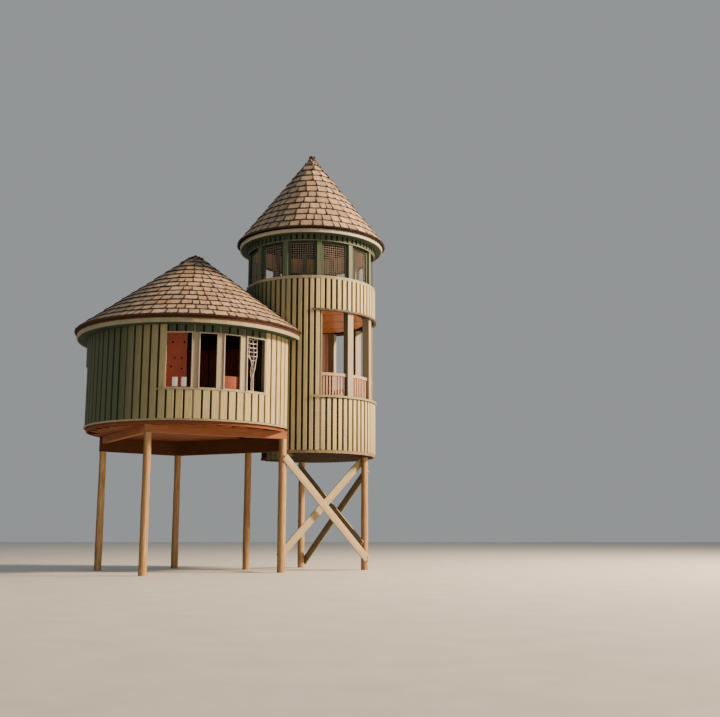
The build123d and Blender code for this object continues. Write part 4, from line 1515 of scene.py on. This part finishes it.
@dataclass
class Understructure:
    """Log poles, beams and crossed planks below the rooms."""

    tower: Tower
    hut: Hut
    pole_radius: float = 0.125
    front_pole_radius: float = 0.138
    tower_poles: tuple[tuple[float, float], ...] = (
        (80.4, 2.046), (-169.1, 2.086), (-88.0, 2.234), (-17.7, 2.57),
    )
    hut_poles: tuple[tuple[float, float], ...] = ((-12.2, 3.48), (-161.2, 2.852), (-102.0, 3.3))
    beam_bottom: float = 4.46
    back_beam_bottom: float = 4.17
    brace: tuple[float, float] = (0.265, 0.045)
    bolt_step: float = 0.06
    # Side of the poles that each plank lies on, and its height at the first and at the second pole
    front_planks: tuple[tuple[int, float, float], ...] = ((1, 3.85, 0.38), (-1, 0.5, 3.88))
    side_planks: tuple[tuple[int, float, float], ...] = ((1, 3.56, 0.2), (-1, 0.9, 3.8))

    def feet(self, centre: Vector, poles: tuple[tuple[float, float], ...]) -> list[Vector]:
        """Feet of some poles on the ground."""
        return [around(centre, radius, angle) for angle, radius in poles]

    def logs(self) -> None:
        """Build the poles of both rooms."""
        under_floor, under_beam = self.tower.bottom - 0.02, self.beam_bottom
        under_back = self.back_beam_bottom
        slim, thick = self.pole_radius, self.front_pole_radius
        for room, centre, poles, tops, girths, seed in (
            ("tower", self.tower.centre, self.tower_poles,
             (under_floor, under_floor, under_back, under_beam), (slim, slim, slim, thick), 51),
            ("hut", self.hut.centre, self.hut_poles, (under_beam, under_back, under_back), (slim,) * 3, 52),
        ):
            stands = list(zip(self.feet(centre, poles), tops, girths))
            Logs(f"{room}_peeled_logs", f"{room}_logs", stands, seed).build()

    def braces(self) -> None:
        """Bolt the crossed planks to their poles."""
        right, rear, _, front = self.feet(self.tower.centre, self.tower_poles)
        width, thickness = self.brace
        bolts = []
        for name, first, second, planks in (
            ("front", front, right, self.front_planks), ("side", right, rear, self.side_planks),
        ):
            along = (second - first).normalized()
            places = []
            for side, at_first, at_second in planks:
                outward = Vector((along.y, -along.x, 0.0)) * side
                shift = outward * (self.pole_radius + thickness / 2)
                ends = [foot + shift + Vector((0, 0, height))
                        for foot, height in ((first, at_first), (second, at_second))]
                places.append(Timber(*ends, thickness).place())
                angle = math.atan2(outward.x, -outward.y)
                for end in ends:
                    for drop in (-self.bolt_step, self.bolt_step):
                        spot = end + outward * thickness / 2 + Vector((0, 0, drop))
                        bolts.append(moved(*spot) @ Matrix.Rotation(angle, 4, "Z"))
            blank = board_blank(width, thickness, 1.0, 0.006, 2)
            piece = copy_out(f"{name}_crossed_planks", blank, places, 81 + len(name))
            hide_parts(f"{name}_braces")
            dress(piece, PLANK)
        Bolts("brace_bolts", bolts).build()

    def build(self) -> None:
        """Build and dress everything below the floors."""
        right, rear, left, front = self.feet(self.tower.centre, self.tower_poles)
        hut_front, hut_rear, hut_left = self.feet(self.hut.centre, self.hut_poles)
        # Painted shade: the back beams take the darker finish
        for finish, node, start, end in (
            (BEAM, "front_beam", hut_front, front), (BEAM, "front_left_beam", hut_left, hut_front),
            (SHADE_DARK_BEAM, "back_beam", hut_rear, left), (SHADE_DARK_BEAM, "rear_left_beam", hut_left, hut_rear),
        ):
            turn = math.degrees(math.atan2(end.y - start.y, end.x - start.x))
            repaint(replace(finish, name=f"{finish.name}_{node}", turn=turn), node)
        self.logs()
        self.braces()


@dataclass
class Studio:
    """Plain pale floor, soft lights and the camera of the photograph."""

    eye: Vector = field(default_factory=lambda: Vector((4.582273, -33.645727, 1.4)))
    pitch: float = 10.2
    focal_pixels: float = 953.0
    picture_width: float = 720.0
    sensor: float = 36.0
    floor_size: float = 160.0
    floor_drop: float = 0.002
    aim: Vector = field(default_factory=lambda: Vector((0.5, 0.0, 7.0)))
    daylight: float = 0.4

    def floor(self) -> None:
        """Lay the floor as stage, not as part of the object."""
        plane = start_blank(bpy.ops.mesh.primitive_plane_add, size=self.floor_size,
                            location=(0, 0, -self.floor_drop))
        plane.name = "studio_floor"
        plane.data.materials.append(Materials.of(FLOOR))

    def area_light(self, name: str, place: Vector, size: float, power: float, tint: str) -> None:
        """Hang one soft square light that faces the building.

        Args:
            name: Light's name.
            place: Where it hangs.
            size: Side of the square.
            power: Watts.
            tint: Colour of the light.
        """
        lamp = bpy.data.lights.new(name, "AREA")
        lamp.shape = "SQUARE"
        lamp.size = size
        lamp.energy = power
        lamp.color = linear(tint)[:3]
        holder = bpy.data.objects.new(name, lamp)
        holder.location = place
        holder.rotation_euler = (self.aim - place).to_track_quat("-Z", "Y").to_euler()
        bpy.context.collection.objects.link(holder)

    def lights(self) -> None:
        """Hang the key far to the right, where the sun stands, a fill and an even surround."""
        self.area_light("key", Vector((37.5, -4.0, 25.0)), size=6.0, power=56000.0, tint="#FFDDB6")
        self.area_light("fill", Vector((-24.0, -22.0, 12.0)), size=16.0, power=600.0, tint="#D6E2BC")
        world = bpy.data.worlds.new("surround")
        world.use_nodes = True
        surround = world.node_tree.nodes["Background"]
        surround.inputs["Color"].default_value = linear("#E4E9EA")
        surround.inputs["Strength"].default_value = self.daylight
        bpy.context.scene.world = world

    def camera(self) -> None:
        """Stand the camera where the photograph was taken."""
        lens = bpy.data.cameras.new("photograph_view")
        lens.sensor_width = self.sensor
        lens.lens = self.sensor * self.focal_pixels / self.picture_width
        lens.clip_end = 400.0
        holder = bpy.data.objects.new("photograph_view", lens)
        holder.location = self.eye
        holder.rotation_euler = (math.radians(90.0 + self.pitch), 0.0, 0.0)
        bpy.context.collection.objects.link(holder)
        bpy.context.scene.camera = holder

    def build(self) -> None:
        """Set up the whole studio."""
        self.camera()
        self.floor()
        self.lights()


def main() -> None:
    """Build every sub-assembly in order."""
    logging.basicConfig(level=logging.INFO, format="%(name)s %(message)s")
    Studio().build()
    tower = Tower(middle_of("tower_roof_cap"))
    hut = Hut(middle_of("hut_roof_cap"), tower)
    tower.build()
    hut.build()
    Understructure(tower, hut).build()


if __name__ == "__main__":
    main()
